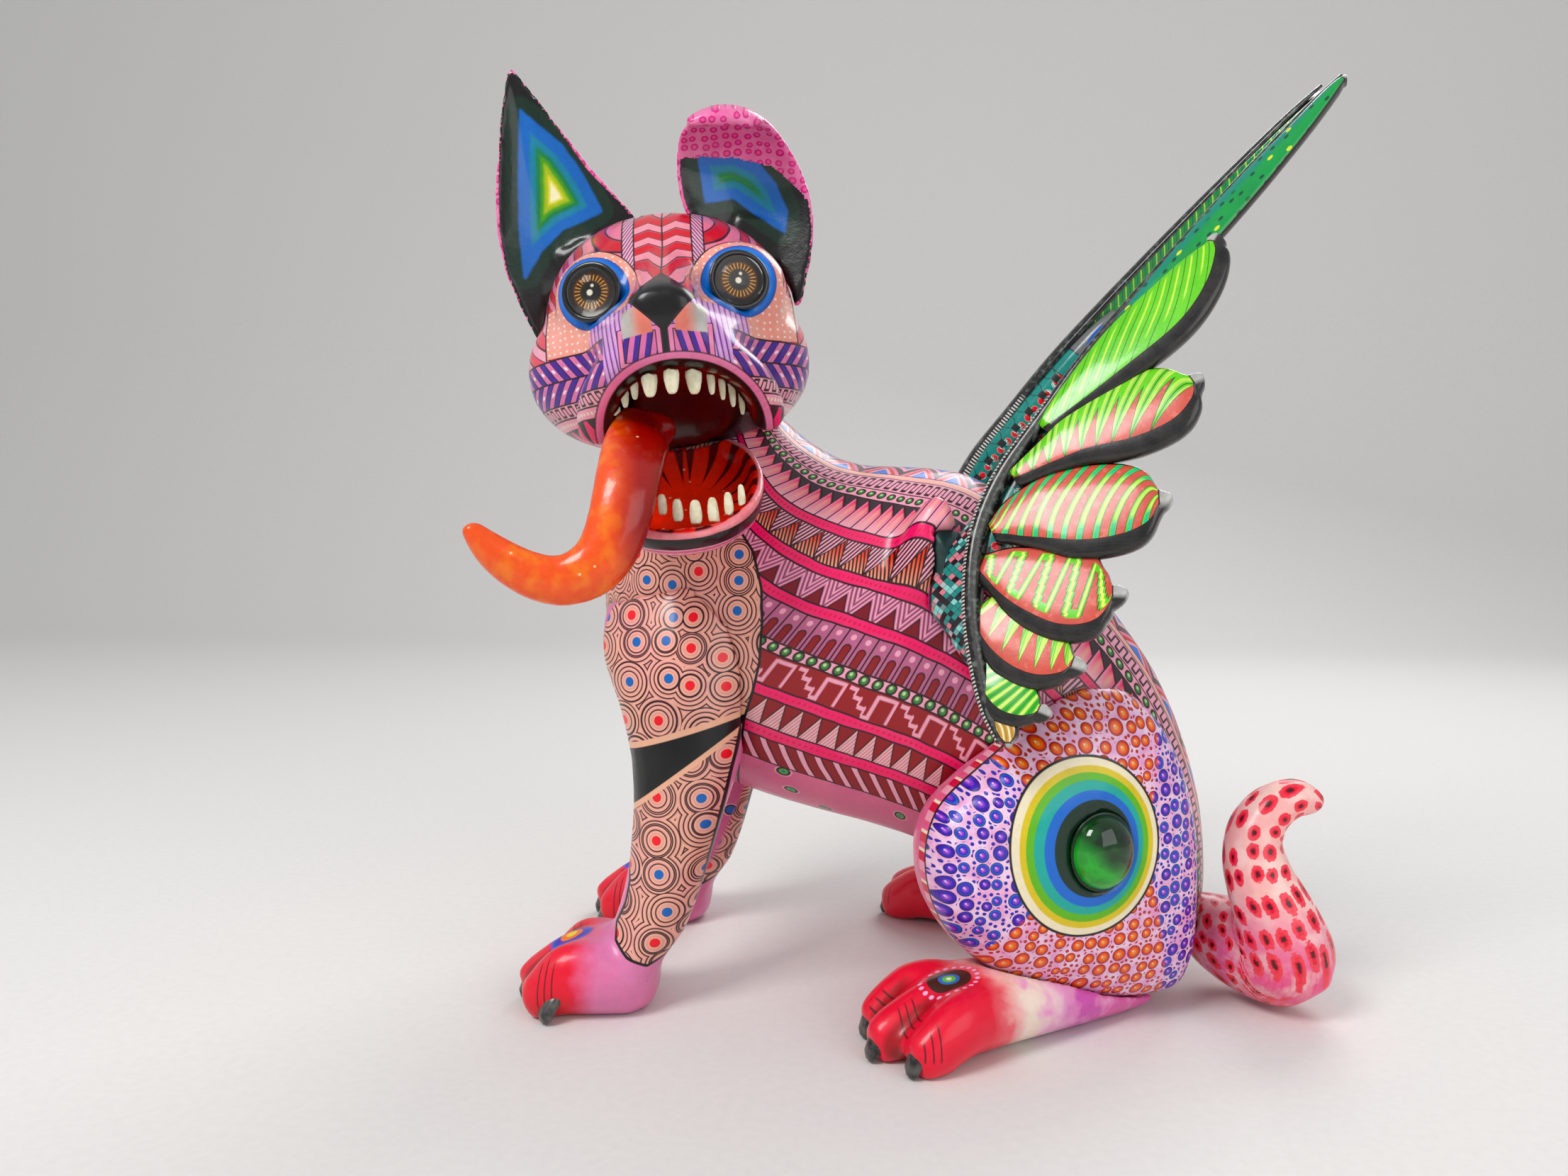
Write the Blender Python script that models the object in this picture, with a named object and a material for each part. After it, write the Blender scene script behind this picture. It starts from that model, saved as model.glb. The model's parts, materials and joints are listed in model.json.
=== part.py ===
"""A winged alebrije dog: hand-carved copal-wood figure built up from glued and plugged pieces."""
import math

import bmesh
import bpy
import numpy as np
from mathutils import Matrix, Vector

MM = 0.001                    # every length below is in millimetres, times MM
GAP = 0.3                     # clearance between pieces that touch
PLUG_GAP = 0.4                # clearance of a plug in its socket
AROUND = 28                   # points round a carved section
SHARP_ANGLE = 45.0            # degrees between faces that still look like one curve

# body
SOLE_CUT = 1.0                # height at which the carved soles are planed flat
HAUNCH_CENTRE = (34.0, 35.0, 60.0)
HAUNCH_THICK = 21.0           # half thickness of the thigh
HAUNCH_SECTIONS = [           # along the thigh, middle height, half height, half thickness
    (-46, 57, 6, 8), (-42, 56, 17, 14), (-34, 54.5, 26, 17), (-22, 54, 35, 19.5),
    (-8, 57.5, 43.5, 21), (8, 58, 49.5, 21), (22, 56, 49.5, 20), (34, 50, 43.5, 18),
    (42, 43, 35, 13), (46, 39, 26, 7),
]
HAUNCH_YAW = 24.0             # degrees that each knee points outward
GEM_RADIUS = 9.9              # half the width of the oval glass dome
GEM_TALL = 1.14               # its height over its width
GEM_HEIGHT = 7.0
GEM_PLACE = (3.5, 0.0)        # along the haunch and up from its centre

# head
HEAD_CENTRE = (-90.0, -16.0, 216.0)
HEAD_YAW = 10.0               # degrees the face turns past square to the body
HEAD_ROLL = 5.0               # degrees the head tips toward its right ear
EYE_PLACE = (21.6, 35.0, 12.0)  # sideways, forward, up from the head's centre
EYE_AXIS = (0.22, 0.96, 0.12)  # the way a left eye looks, in the head's axes
EYE_RADIUS = 9.0
EYE_DOME = 6.0
JAW_CENTRE = Vector((-1, 36, -47.5))
JAW_PITCH = 32.0              # degrees the jaw hangs open

# plugs
DOWEL_RADIUS = 5.0
WING_PLUG = (4.5, 10.0, 16.0)  # half thickness, half height, length
WING_PLUG_REACH = 3.0         # how far the tenon runs out inside the wing
WING_SOCKET_REACH = 14.0      # how far the socket is cleared outward through the flank
WING_PLUG_MOUTH = (-9, 2, -5)  # chord, up and out of the tenon's shoulder on the wing
EAR_PLUG = (2.0, 7.0, 9.0)    # half thickness, half width, depth in the head
EAR_PLUG_REACH = 14.0         # and how far it runs up inside the ear
EAR_ROOTS = {-1: Vector((-28, -11, 25)), 1: Vector((26, -7, 28))}  # right and left, in the head
EAR_SPLAY = 0.35              # sideways lean of the way that an ear pulls out
TAIL_PULL = Vector((1, 0, 0))
TAIL_ROOT = Vector((80, 0, 26))
TAIL_PLUG_RADIUS = 6.5
TAIL_PLUG_LENGTH = 14.0
TAIL_PLUG_REACH = 9.0

WING_ROOT = (7.0, 47.0, 144.0)
WING_NORMAL = (-0.25, 0.90, 0.33)
WING_BEND = 0.00075           # inward curl of the upper wing, per mm squared
WING_BEND_START = 30.0
WING_SHIFT = (-8.0, 0.0, 9.0)  # the right wing sits this much off the left one's mirror
WING_TURN = 3.0               # and is turned back by this many degrees
WING_PULL = (0.45, 0.84, 0.30)  # way that a wing pulls out of its socket
PULL_STEPS = (1.5, 3.5, 5.5, 7.5)  # places along the pull where its way is kept clear

PINK = (0.85, 0.30, 0.42, 1.0)
RED = (0.75, 0.06, 0.05, 1.0)
GREEN = (0.10, 0.42, 0.16, 1.0)
CREAM = (0.85, 0.78, 0.62, 1.0)
BROWN = (0.12, 0.05, 0.03, 1.0)
GLASS = (0.02, 0.16, 0.07, 1.0)
WOOD = (0.62, 0.45, 0.28, 1.0)


def vec(x, y, z):
    return Vector((x, y, z)) * MM


def spline(rows, steps):
    """Catmull-Rom rows through the given rows of numbers."""
    table = np.array(rows, float)
    padded = np.vstack([2 * table[0] - table[1], table, 2 * table[-1] - table[-2]])
    result = []
    for i in range(len(table) - 1):
        a, b, c, d = padded[i:i + 4]
        for k in range(steps):
            t = k / steps
            result.append(0.5 * (2 * b + (c - a) * t + (2 * a - 5 * b + 4 * c - d) * t * t
                                 + (3 * b - a - 3 * c + d) * t ** 3))
    result.append(table[-1])
    return result


def squarer(value, power):
    return math.copysign(abs(value) ** power, value)


def skin(bm, loops):
    """Closes a stack of equal loops of points into one tube with pinched ends."""
    rings = [[bm.verts.new(p) for p in loop] for loop in loops]
    for low, high in zip(rings, rings[1:]):
        for i in range(len(low)):
            j = (i + 1) % len(low)
            bm.faces.new((low[i], low[j], high[j], high[i]))
    for ring in (rings[0], rings[-1]):
        middle = bm.verts.new(sum((v.co for v in ring), Vector()) / len(ring))
        for i in range(len(ring)):
            bm.faces.new((ring[i], ring[(i + 1) % len(ring)], middle))


def section(centre, half_a, half_b, power=1.0, around=AROUND):
    """One closed section: two half axes about a centre; power under 1 squares it up."""
    loop = []
    for i in range(around):
        angle = 2 * math.pi * i / around
        loop.append(centre + half_a * squarer(math.cos(angle), power)
                    + half_b * squarer(math.sin(angle), power))
    return loop


def finish_mesh(bm):
    bmesh.ops.remove_doubles(bm, verts=bm.verts, dist=1e-6)
    bmesh.ops.recalc_face_normals(bm, faces=bm.faces)
    mesh = bpy.data.meshes.new("carving")
    bm.to_mesh(mesh)
    bm.free()
    return mesh


def add(name, bm):
    obj = bpy.data.objects.new(name, finish_mesh(bm))
    bpy.context.scene.collection.objects.link(obj)
    return obj


def oval_tube(name, rows, steps=4, power=1.0, around=AROUND):
    """Rows are centre x, y, z, half axis a x, y, z and half axis b x, y, z."""
    bm = bmesh.new()
    loops = []
    for row in spline(rows, steps):
        c, a, b = (Vector(row[i:i + 3]) * MM for i in (0, 3, 6))
        loops.append(section(c, a, b, power, around))
    skin(bm, loops)
    return add(name, bm)


def bent_tube(name, rows, flat=Vector((0, 1, 0)), steps=4, around=20):
    """A tube along x, y, z with half widths: across the flat direction, and along it."""
    bm = bmesh.new()
    table = spline(rows, steps)
    points = [Vector(row[:3]) * MM for row in table]
    loops = []
    for i, row in enumerate(table):
        along = (points[min(i + 1, len(points) - 1)] - points[max(i - 1, 0)]).normalized()
        across = along.cross(flat).normalized()
        over = across.cross(along).normalized()
        loops.append(section(points[i], across * row[3] * MM, over * row[4] * MM,
                             1.0, around))
    skin(bm, loops)
    return add(name, bm)


def egg(name, centre, radii, matrix=Matrix(), power=1.0, rings=14):
    """An ellipsoid, or with power under 1 a squarer one, turned by matrix."""
    bm = bmesh.new()
    loops = []
    for k in range(1, rings):
        angle = math.pi * k / rings
        high = -squarer(math.cos(angle), power)
        wide = squarer(math.sin(angle), power)
        loop = section(Vector((0, 0, high)), Vector((wide, 0, 0)), Vector((0, wide, 0)), power)
        loops.append([vec(*centre) + matrix @ Vector((p.x * radii[0], p.y * radii[1],
                                                      p.z * radii[2])) * MM for p in loop])
    skin(bm, loops)
    return add(name, bm)


def rod(name, start, end, radius, sides=20):
    bm = bmesh.new()
    along = (end - start).normalized()
    across = along.orthogonal().normalized()
    skin(bm, [section(p, across * radius, along.cross(across) * radius, 1.0, sides)
              for p in (start, end)])
    return add(name, bm)


def bar(name, centre, half, axes):
    """A straight block: half sizes along three axes."""
    bm = bmesh.new()
    bmesh.ops.create_cube(bm, size=2.0)
    turn = Matrix([axes[0], axes[1], axes[2]]).transposed()
    for v in bm.verts:
        v.co = centre + turn @ Vector((v.co.x * half[0], v.co.y * half[1], v.co.z * half[2]))
    return add(name, bm)


def apply_modifiers(obj):
    bpy.context.view_layer.update()
    shaped = obj.evaluated_get(bpy.context.evaluated_depsgraph_get())
    mesh = bpy.data.meshes.new_from_object(shaped)
    obj.modifiers.clear()
    obj.data = mesh


def drop(obj):
    bpy.data.objects.remove(obj, do_unlink=True)


def join(name, pieces):
    """Puts several closed shapes in one object, still overlapping."""
    bm = bmesh.new()
    for piece in pieces:
        bm.from_mesh(piece.data)
        drop(piece)
    mesh = bpy.data.meshes.new("joined")
    bm.to_mesh(mesh)
    bm.free()
    obj = bpy.data.objects.new(name, mesh)
    bpy.context.scene.collection.objects.link(obj)
    return obj


def carve(obj, voxel, rounds, faces):
    """Melts overlapping shapes into one smooth carved skin with about this many triangles."""
    remesh = obj.modifiers.new("skin", "REMESH")
    remesh.mode = "VOXEL"
    remesh.voxel_size = voxel * MM
    if rounds:
        smooth = obj.modifiers.new("rounding", "SMOOTH")
        smooth.factor = 0.5
        smooth.iterations = rounds
    apply_modifiers(obj)
    triangles = sum(len(p.vertices) - 2 for p in obj.data.polygons)
    thin = obj.modifiers.new("facets", "DECIMATE")
    thin.ratio = min(1.0, faces / triangles)
    apply_modifiers(obj)
    return obj


def boolean(obj, other, operation, keep=False):
    step = obj.modifiers.new(operation.lower(), "BOOLEAN")
    step.operation = operation
    step.solver = "EXACT"
    step.object = other
    apply_modifiers(obj)
    if not keep:
        drop(other)
    return obj


def grown(obj, amount):
    """A copy pushed out along its normals, to cut a clearance."""
    mesh = obj.data.copy()
    bm = bmesh.new()
    bm.from_mesh(mesh)
    bm.normal_update()
    moves = [v.normal * amount * MM for v in bm.verts]
    for v, move in zip(bm.verts, moves):
        v.co += move
    bm.to_mesh(mesh)
    bm.free()
    copy = bpy.data.objects.new("clearance", mesh)
    bpy.context.scene.collection.objects.link(copy)
    return copy


def keep_largest(obj):
    """Drops the loose chips that a cut leaves."""
    bm = bmesh.new()
    bm.from_mesh(obj.data)
    left = set(bm.verts)
    islands = []
    while left:
        seed = left.pop()
        island, edge = {seed}, [seed]
        while edge:
            for link in edge.pop().link_edges:
                for v in link.verts:
                    if v in left:
                        left.remove(v)
                        island.add(v)
                        edge.append(v)
        islands.append(island)
    islands.sort(key=len)
    for island in islands[:-1]:
        bmesh.ops.delete(bm, geom=list(island), context="VERTS")
    bm.to_mesh(obj.data)
    bm.free()
    return obj


def trim_to(obj, *others, gap=GAP):
    """Cuts away from obj whatever the other pieces fill, and the clearance round them."""
    for other in others:
        boolean(obj, grown(other, gap), "DIFFERENCE")
    return keep_largest(obj)


def clear_way(obj, other, pull):
    """Trims obj so that it slides off the other piece along the pull without catching."""
    for step in PULL_STEPS:
        ahead = grown(other, GAP)
        ahead.data.transform(Matrix.Translation(pull * -step * MM))
        boolean(obj, ahead, "DIFFERENCE")
    return keep_largest(obj)


def mirror(obj, name):
    """The same piece for the other flank."""
    bm = bmesh.new()
    bm.from_mesh(obj.data)
    for v in bm.verts:
        v.co.y = -v.co.y
    bmesh.ops.reverse_faces(bm, faces=bm.faces)
    mesh = bpy.data.meshes.new("mirrored")
    bm.to_mesh(mesh)
    bm.free()
    twin = bpy.data.objects.new(name, mesh)
    bpy.context.scene.collection.objects.link(twin)
    return twin


def shade(obj):
    """Rounds the look of the carving and keeps cut edges crisp."""
    obj.data.shade_smooth()
    obj.data.set_sharp_from_angle(angle=math.radians(SHARP_ANGLE))


def paint(obj, colour, roughness=0.25, metallic=0.0):
    material = bpy.data.materials.new(obj.name + "_finish")
    material.use_nodes = True
    shader = material.node_tree.nodes["Principled BSDF"]
    shader.inputs["Base Color"].default_value = colour
    shader.inputs["Roughness"].default_value = roughness
    shader.inputs["Metallic"].default_value = metallic
    obj.data.materials.clear()
    obj.data.materials.append(material)


# ---------------------------------------------------------------- torso

def make_torso():
    # sagittal sections from the neck to the rump: centre x, z, half vector x, z, half width
    spine = [
        (-86, 196, 23, 2, 20), (-85, 184, 29, 8, 25), (-83, 166, 36, 18, 32),
        (-75, 145, 43, 32, 36), (-57, 128, 45, 48, 39), (-29, 118, 36, 55, 41),
        (-1, 107, 27, 53, 41), (23, 91, 24, 46, 39), (43, 69, 25, 39, 36),
        (59, 47, 22, 27, 31), (68, 28, 17, 15, 24), (72, 18, 11, 5, 16),
    ]
    rows = [(x, 0, z, hx, 0, hz, 0, w, 0) for x, z, hx, hz, w in spine]
    trunk = oval_tube("trunk", rows, steps=4, power=0.92, around=32)
    collar = []
    for side in (-1, 1):
        centre = Vector((-7, side * 37, 147))
        boss = egg("boss", centre, (9, 7, 20), Matrix.Rotation(math.radians(12), 3, "Y"))
        collar.append(boss)
    return carve(join("torso", [trunk] + collar), 2.4, 3, 1500)


# ---------------------------------------------------------------- legs

def make_front_leg():
    rows = [
        (-88, 22, 136, 26, 0, 6, 0, 15, 0), (-87, 27, 117, 27, 0, 3, 0, 18, 0),
        (-85, 31, 98, 22, 0, 0, 0, 18, 0), (-84, 35, 78, 17.5, 0, 0, 0, 16, 0),
        (-87, 38, 58, 14, 0, 0, 0, 14, 0), (-90.5, 40, 40, 12.5, 0, 0, 0, 12.5, 0),
        (-95, 41, 27, 12.5, 0, 0, 0, 13, 0), (-101, 42, 17, 11, 0, 0, 0, 13, 0),
    ]
    shank = oval_tube("shank", rows)
    paw = oval_tube("paw", [
        (-92, 42, 12, 0, 0, 8.5, 0, 10, 0), (-99, 42, 11.5, 0, 0, 12.5, 0, 15.5, 0),
        (-109, 42, 12.5, 0, 0, 13.5, 0, 19, 0), (-122, 42, 10.5, 0, 0, 12, 0, 20, 0),
    ])
    pieces = [shank, paw]
    for toe, (side, reach) in enumerate([(-13.5, 132), (0, 137), (13.5, 132)]):
        pieces.append(bent_tube("toe", [
            (-108, 42 + side * 0.7, 16.5, 7.5, 9), (-118, 42 + side * 0.9, 15.5, 7.5, 9.5),
            (-(reach - 7), 42 + side, 9, 7, 8.5), (-reach, 42 + side, 5.5, 5, 6.5),
        ], flat=Vector((0, 0, 1))))
    leg = carve(join("front_leg_right", pieces), 1.8, 2, 520)
    return flatten_sole(leg)


def flatten_sole(obj):
    """Planes the underside off at floor level."""
    depth = 20 * MM
    block = bar("floor", Vector((0, 0, SOLE_CUT * MM - depth)), (400 * MM, 400 * MM, depth),
                (Vector((1, 0, 0)), Vector((0, 1, 0)), Vector((0, 0, 1))))
    return boolean(obj, block, "DIFFERENCE")


def haunch_axes():
    yaw = math.radians(HAUNCH_YAW)
    along = Vector((math.cos(yaw), -math.sin(yaw), 0))
    out = Vector((math.sin(yaw), math.cos(yaw), 0))
    return along, out


def make_haunch():
    along, out = haunch_axes()
    rows = []
    for reach, middle, high, thick in HAUNCH_SECTIONS:
        c = Vector((HAUNCH_CENTRE[0], HAUNCH_CENTRE[1], middle)) + along * reach
        rows.append((*c, 0, 0, high, *(out * thick)))
    ham = oval_tube("ham", rows, steps=4, power=0.85)
    return carve(ham, 2.0, 3, 460)


def make_hind_foot():
    yaw = math.radians(34.0)
    along = Vector((-math.cos(yaw), math.sin(yaw), 0))
    out = Vector((math.sin(yaw), math.cos(yaw), 0))
    heel = Vector((60, 15, 0))

    def place(reach, side, z):
        return heel + along * reach + out * side + Vector((0, 0, z))

    rows = []
    for reach, z, high, wide in [(0, 7, 6.5, 10), (18, 9, 9, 13), (38, 10.5, 10.5, 15.5),
                                 (58, 12, 12, 18), (76, 11, 10.5, 20)]:
        c = place(reach, 2, z)
        a = out * wide
        rows.append((c.x, c.y, c.z, a.x, a.y, a.z, 0, 0, high))
    pieces = [oval_tube("sole", rows)]
    for side, reach in [(-13, 93), (1, 99), (15, 94)]:
        pts = [place(66, side * 0.8 + 1, 13.5), place(77, side * 0.95 + 1, 13),
               place(reach - 7, side + 1, 8), place(reach, side + 1, 5.5)]
        widths = [(7.5, 9), (7.5, 9.5), (7, 8.5), (5, 6.5)]
        pieces.append(bent_tube("toe", [(p.x, p.y, p.z, w, h) for p, (w, h) in zip(pts, widths)],
                                flat=Vector((0, 0, 1))))
    foot = carve(join("hind_foot_right", pieces), 1.8, 2, 500)
    return flatten_sole(foot)


# ---------------------------------------------------------------- head

def head_matrix():
    """Head axes in the body's frame: x sideways, y forward out of the face, z up."""
    yaw = math.radians(HEAD_YAW)
    roll = math.radians(HEAD_ROLL)
    forward = Vector((math.sin(yaw), -math.cos(yaw), 0))
    side = Vector((math.cos(yaw), math.sin(yaw), 0))
    side = side * math.cos(roll) + Vector((0, 0, math.sin(roll)))
    up = side.cross(forward)
    up = up if up.z > 0 else -up
    turn = Matrix([side, forward, up]).transposed().to_4x4()
    return Matrix.Translation(vec(*HEAD_CENTRE)) @ turn


def in_head(obj):
    """Moves a shape made about the origin into the head's place."""
    obj.data.transform(head_matrix())
    if head_matrix().to_3x3().determinant() < 0:
        obj.data.flip_normals()
    return obj


def make_head():
    skull = egg("skull", (-2, -2, 6), (42, 40, 37), power=0.95)
    cheeks = egg("cheeks", (-3.5, 2, -8), (47, 37, 28), power=0.9)
    muzzle = oval_tube("muzzle", [
        (-1, 18, -2, 28, 0, 0, 0, 0, 22), (-1, 34, -4, 26, 0, 0, 0, 0, 17),
        (-1, 48, -5, 22, 0, 0, 0, 0, 13), (-1, 60, -6, 17, 0, 0, 0, 0, 9.5),
        (-1, 67, -6, 12, 0, 0, 0, 0, 7),
    ], power=0.85)
    bridge = oval_tube("bridge", [
        (-1, 20, 20, 10, 0, 0, 0, 0, 12), (-1, 36, 14, 9, 0, 0, 0, 0, 10),
        (-1, 52, 7, 9, 0, 0, 0, 0, 8), (-1, 64, 2, 10.5, 0, 0, 0, 0, 7.5),
        (-1, 71, 1, 8.5, 0, 0, 0, 0, 6),
    ])
    pieces = [skull, cheeks, muzzle, bridge]
    for side in (-1, 1):
        pieces.append(bent_tube("flew", [
            (side * 8, 62, -10, 6, 5), (side * 17, 55, -14, 6.5, 5.5),
            (side * 24, 43, -21, 6.5, 6), (side * 27, 31, -30, 6, 6),
        ], flat=Vector((0, 0, 1))))
        pieces.append(egg("brow", (side * EYE_PLACE[0], 25, EYE_PLACE[2]), (15, 13, 15)))
    head = carve(join("head", pieces), 1.9, 2, 9000)
    boolean(head, mouth_cutter(), "DIFFERENCE")
    return carve(head, 1.7, 1, 1500)


def mouth_cutter():
    return egg("mouth", (1, 50, -32), (22, 33, 17), power=0.9)


def make_jaw():
    """A scoop that hangs open below the muzzle."""
    turn = Matrix.Rotation(math.radians(-JAW_PITCH), 3, "X")
    up = turn @ Vector((0, 0, 1))
    shell = egg("shell", JAW_CENTRE, (25, 31, 15), turn, power=0.9)
    block = bar("top", (JAW_CENTRE + up * 32) * MM, (60 * MM, 60 * MM, 30 * MM),
                [turn @ Vector(axis) for axis in ((1, 0, 0), (0, 1, 0), (0, 0, 1))])
    hollow = egg("hollow", JAW_CENTRE + up * 2, (21, 27, 12), turn, power=0.9)
    boolean(shell, block, "DIFFERENCE")
    boolean(shell, hollow, "DIFFERENCE")
    return carve(shell, 1.3, 1, 400)


def make_tongue():
    rows = [
        (-9, 24, -33, 9, 4.5), (-11, 40, -30, 10, 5), (-13.5, 56, -37, 10, 5.5),
        (-16, 67, -49, 9.5, 5.5), (-20, 70, -61, 9, 5.5), (-26, 71, -69, 8.5, 5.5),
        (-36, 72, -72, 7.5, 5), (-46, 73, -68, 6.5, 4.5), (-54, 74, -61, 5, 4),
        (-59, 75, -54, 2.4, 2.4),
    ]
    return bent_tube("tongue", rows, steps=2, around=12)


def tooth_rows(x, y, z, width, length):
    """A blunt peg hanging down, or with a negative length standing up."""
    down = -math.copysign(1.0, length)
    size = abs(length)
    return [(x, y, z - down * 3, width, width * 0.62), (x, y, z + down * size * 0.55,
            width * 0.92, width * 0.55), (x, y + 0.4, z + down * size, width * 0.55, width * 0.35)]


UPPER_TEETH = [  # sideways, half width, length
    (-18.5, 1.5, 4.5), (-15.2, 1.5, 5.0), (-11.8, 1.5, 5.5), (-7.0, 2.8, 7.5), (-0.6, 2.8, 8.0),
    (5.6, 2.8, 7.5), (10.4, 1.5, 5.5), (13.4, 1.3, 5.0), (16.2, 1.3, 4.5), (18.8, 1.2, 4.0),
]
LOWER_TEETH = [
    (-7.0, 1.7, 3.5), (-2.6, 2.0, 4.0), (2.6, 2.3, 4.5), (7.6, 2.0, 4.5), (12.2, 1.7, 4.0),
    (16.2, 1.4, 3.5),
]


def make_upper_tooth(side, width, length):
    spread = abs(side + 1) / 21
    return bent_tube("tooth", tooth_rows(side, 61 - 24 * spread ** 2, -14.5 - 11 * spread ** 2.2,
                                         width, length), steps=1, around=6)


def make_lower_tooth(side, width, length):
    spread = (side - 4) / 20
    return bent_tube("tooth", tooth_rows(side, 56.5 - 12 * spread ** 2, -57 + 12 * spread ** 2,
                                         width, -length), steps=1, around=6)


def make_eye(side, grow=0.0):
    """A glass dome on a short drum; grow widens it into its socket's cutter."""
    axis = Vector((side * EYE_AXIS[0], EYE_AXIS[1], EYE_AXIS[2])).normalized()
    base = Vector((side * EYE_PLACE[0] - 1, EYE_PLACE[1], EYE_PLACE[2]))
    return dome("eye", base, axis, EYE_RADIUS, 2.5, EYE_DOME, grow)


def dome(name, base, axis, radius, drum, height, grow):
    across = axis.orthogonal().normalized()
    over = axis.cross(across)
    wide = radius + grow
    loops = [section((base - axis * grow) * MM, across * wide * MM, over * wide * MM, 1.0, 20)]
    if grow:
        loops.append(section((base + axis * 30) * MM, across * wide * MM, over * wide * MM,
                             1.0, 20))
    else:
        for angle in (0, 25, 50, 75):
            ring = radius * math.cos(math.radians(angle))
            lift = drum + height * math.sin(math.radians(angle))
            loops.append(section((base + axis * lift) * MM, across * ring * MM,
                                 over * ring * MM, 1.0, 20))
    bm = bmesh.new()
    skin(bm, loops)
    return add(name, bm)


def make_gem(grow=0.0):
    along, out = haunch_axes()
    base = Vector(HAUNCH_CENTRE) + along * GEM_PLACE[0] + Vector((0, 0, GEM_PLACE[1]))
    gem = dome("gem", base + out * (HAUNCH_THICK - 3.5), out, GEM_RADIUS, 2.5, GEM_HEIGHT,
               grow)
    for vertex in gem.data.vertices:
        vertex.co.z = (base.z + (vertex.co.z / MM - base.z) * GEM_TALL) * MM
    return gem


# ---------------------------------------------------------------- ears

def ear_shell(name, rows, cup, thick, around=10):
    """Rows run from root to tip: left x, y, z then right x, y, z; the middle is cupped back."""
    bm = bmesh.new()
    table = [(Vector(row[:3]), Vector(row[3:6])) for row in spline(rows, 3)]
    middles = [(left + right) / 2 for left, right in table]
    loops = []
    last = len(table) - 1
    for k, (left, right) in enumerate(table):
        along = middles[min(k + 1, last)] - middles[max(k - 1, 0)]
        back = (right - left).cross(along).normalized()
        depth = cup * math.sin(math.pi * min(0.92, 0.25 + 0.75 * k / last))
        width = (right - left).length
        ahead, behind = [], []
        for i in range(around + 1):
            t = i / around
            bow = 4 * t * (1 - t)
            spot = left.lerp(right, t) + back * depth * bow
            skin_depth = thick * (0.6 + 0.4 * bow) * min(1.0, width / 8)
            ahead.append(spot * MM)
            behind.append((spot + back * skin_depth) * MM)
        loops.append(ahead + behind[::-1])
    skin(bm, loops)
    return add(name, bm)


def make_upright_ear():
    shell = ear_shell("ear_right", [
        (-45, -2, 0, -5, -2, 36), (-54, -2, 22, -13, -3, 48), (-57.5, -3, 40, -21, -4, 58),
        (-57, -4, 58, -29, -5, 70), (-54.5, -6, 76, -37.5, -6, 83), (-51.5, -7, 91, -44, -7, 93),
        (-50, -7, 98, -47, -7, 98.5),
    ], 9, 5)
    return carve(shell, 1.3, 1, 270)


def make_folded_ear():
    shell = ear_shell("ear_left", [
        (8, 1, 36, 42, 1, 8), (5, 0, 47, 48, 0, 30), (3.5, 0, 57, 49, -1, 45),
        (5, 3, 65, 44, 2, 58), (9, 9, 68.5, 36, 9, 65), (8, 15, 64.5, 31, 15, 62),
    ], 7, 5)
    return carve(shell, 1.3, 1, 270)


def make_ear_plug(side, grow=0.0):
    """A flat tenon under each ear, along the way the ear pulls out."""
    thick, high, length = EAR_PLUG
    root = EAR_ROOTS[side]
    out = Vector((side * EAR_SPLAY, 0, 1)).normalized()
    along = out.cross(Vector((0, 1, 0))).normalized()
    axes = (along, Vector((0, 1, 0)), out)
    reach = (length + EAR_PLUG_REACH + grow) / 2
    centre = root + out * (EAR_PLUG_REACH - length - grow) / 2
    return bar("plug", centre * MM, ((high + grow) * MM, (thick + grow) * MM, reach * MM), axes)


# ---------------------------------------------------------------- wings

def wing_frame():
    out = Vector(WING_NORMAL).normalized()
    up = (Vector((0, 0, 1)) - out * out.z).normalized()
    chord = up.cross(out)
    chord = chord if chord.x > 0 else -chord
    return chord, up, out


def on_wing(chord_mm, up_mm, out_mm=0.0):
    chord, up, out = wing_frame()
    curl = WING_BEND * max(0.0, up_mm - WING_BEND_START) ** 2
    return Vector(WING_ROOT) + chord * chord_mm + up * up_mm + out * (out_mm - curl)


FEATHERS = [  # root chord, root up, tip chord, tip up, half width, outward lift
    (20, 52, 98, 167, 7.5, 1.0), (12, 34, 65, 92, 15, 2.0), (9, 24, 62, 50, 14.5, 1.8),
    (6, 13, 54, 17, 13.5, 1.4), (5, 0, 45, -8, 13.0, 1.0), (5, -14, 32, -27, 9.5, 0.5),
    (7, -28, 24, -41, 7.0, 0.0), (10, -40, 16, -49, 4.5, 0.0),
]


def make_feather(spec):
    root_c, root_u, tip_c, tip_u, wide, lift = spec
    _, _, out = wing_frame()
    long = math.hypot(tip_c - root_c, tip_u - root_u)
    side = ((tip_u - root_u) / long, -(tip_c - root_c) / long)
    rows = []
    for t, share, thick in [(0, 0.45, 4.0), (0.3, 0.75, 4.8), (0.6, 0.95, 5.0),
                            (0.85, 0.95, 4.6), (0.96, 0.75, 3.8), (1.0, 0.35, 2.4)]:
        bow = 0.06 * long * math.sin(math.pi * t)
        c = root_c + (tip_c - root_c) * t - side[0] * bow
        u = root_u + (tip_u - root_u) * t - side[1] * bow
        middle = on_wing(c, u, lift)
        reach = on_wing(c + side[0] * wide * share, u + side[1] * wide * share, lift + 1.5)
        a = reach - middle
        rows.append((*middle, *a, *(out * thick)))
    return oval_tube("feather", rows, steps=3, around=14)


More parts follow.
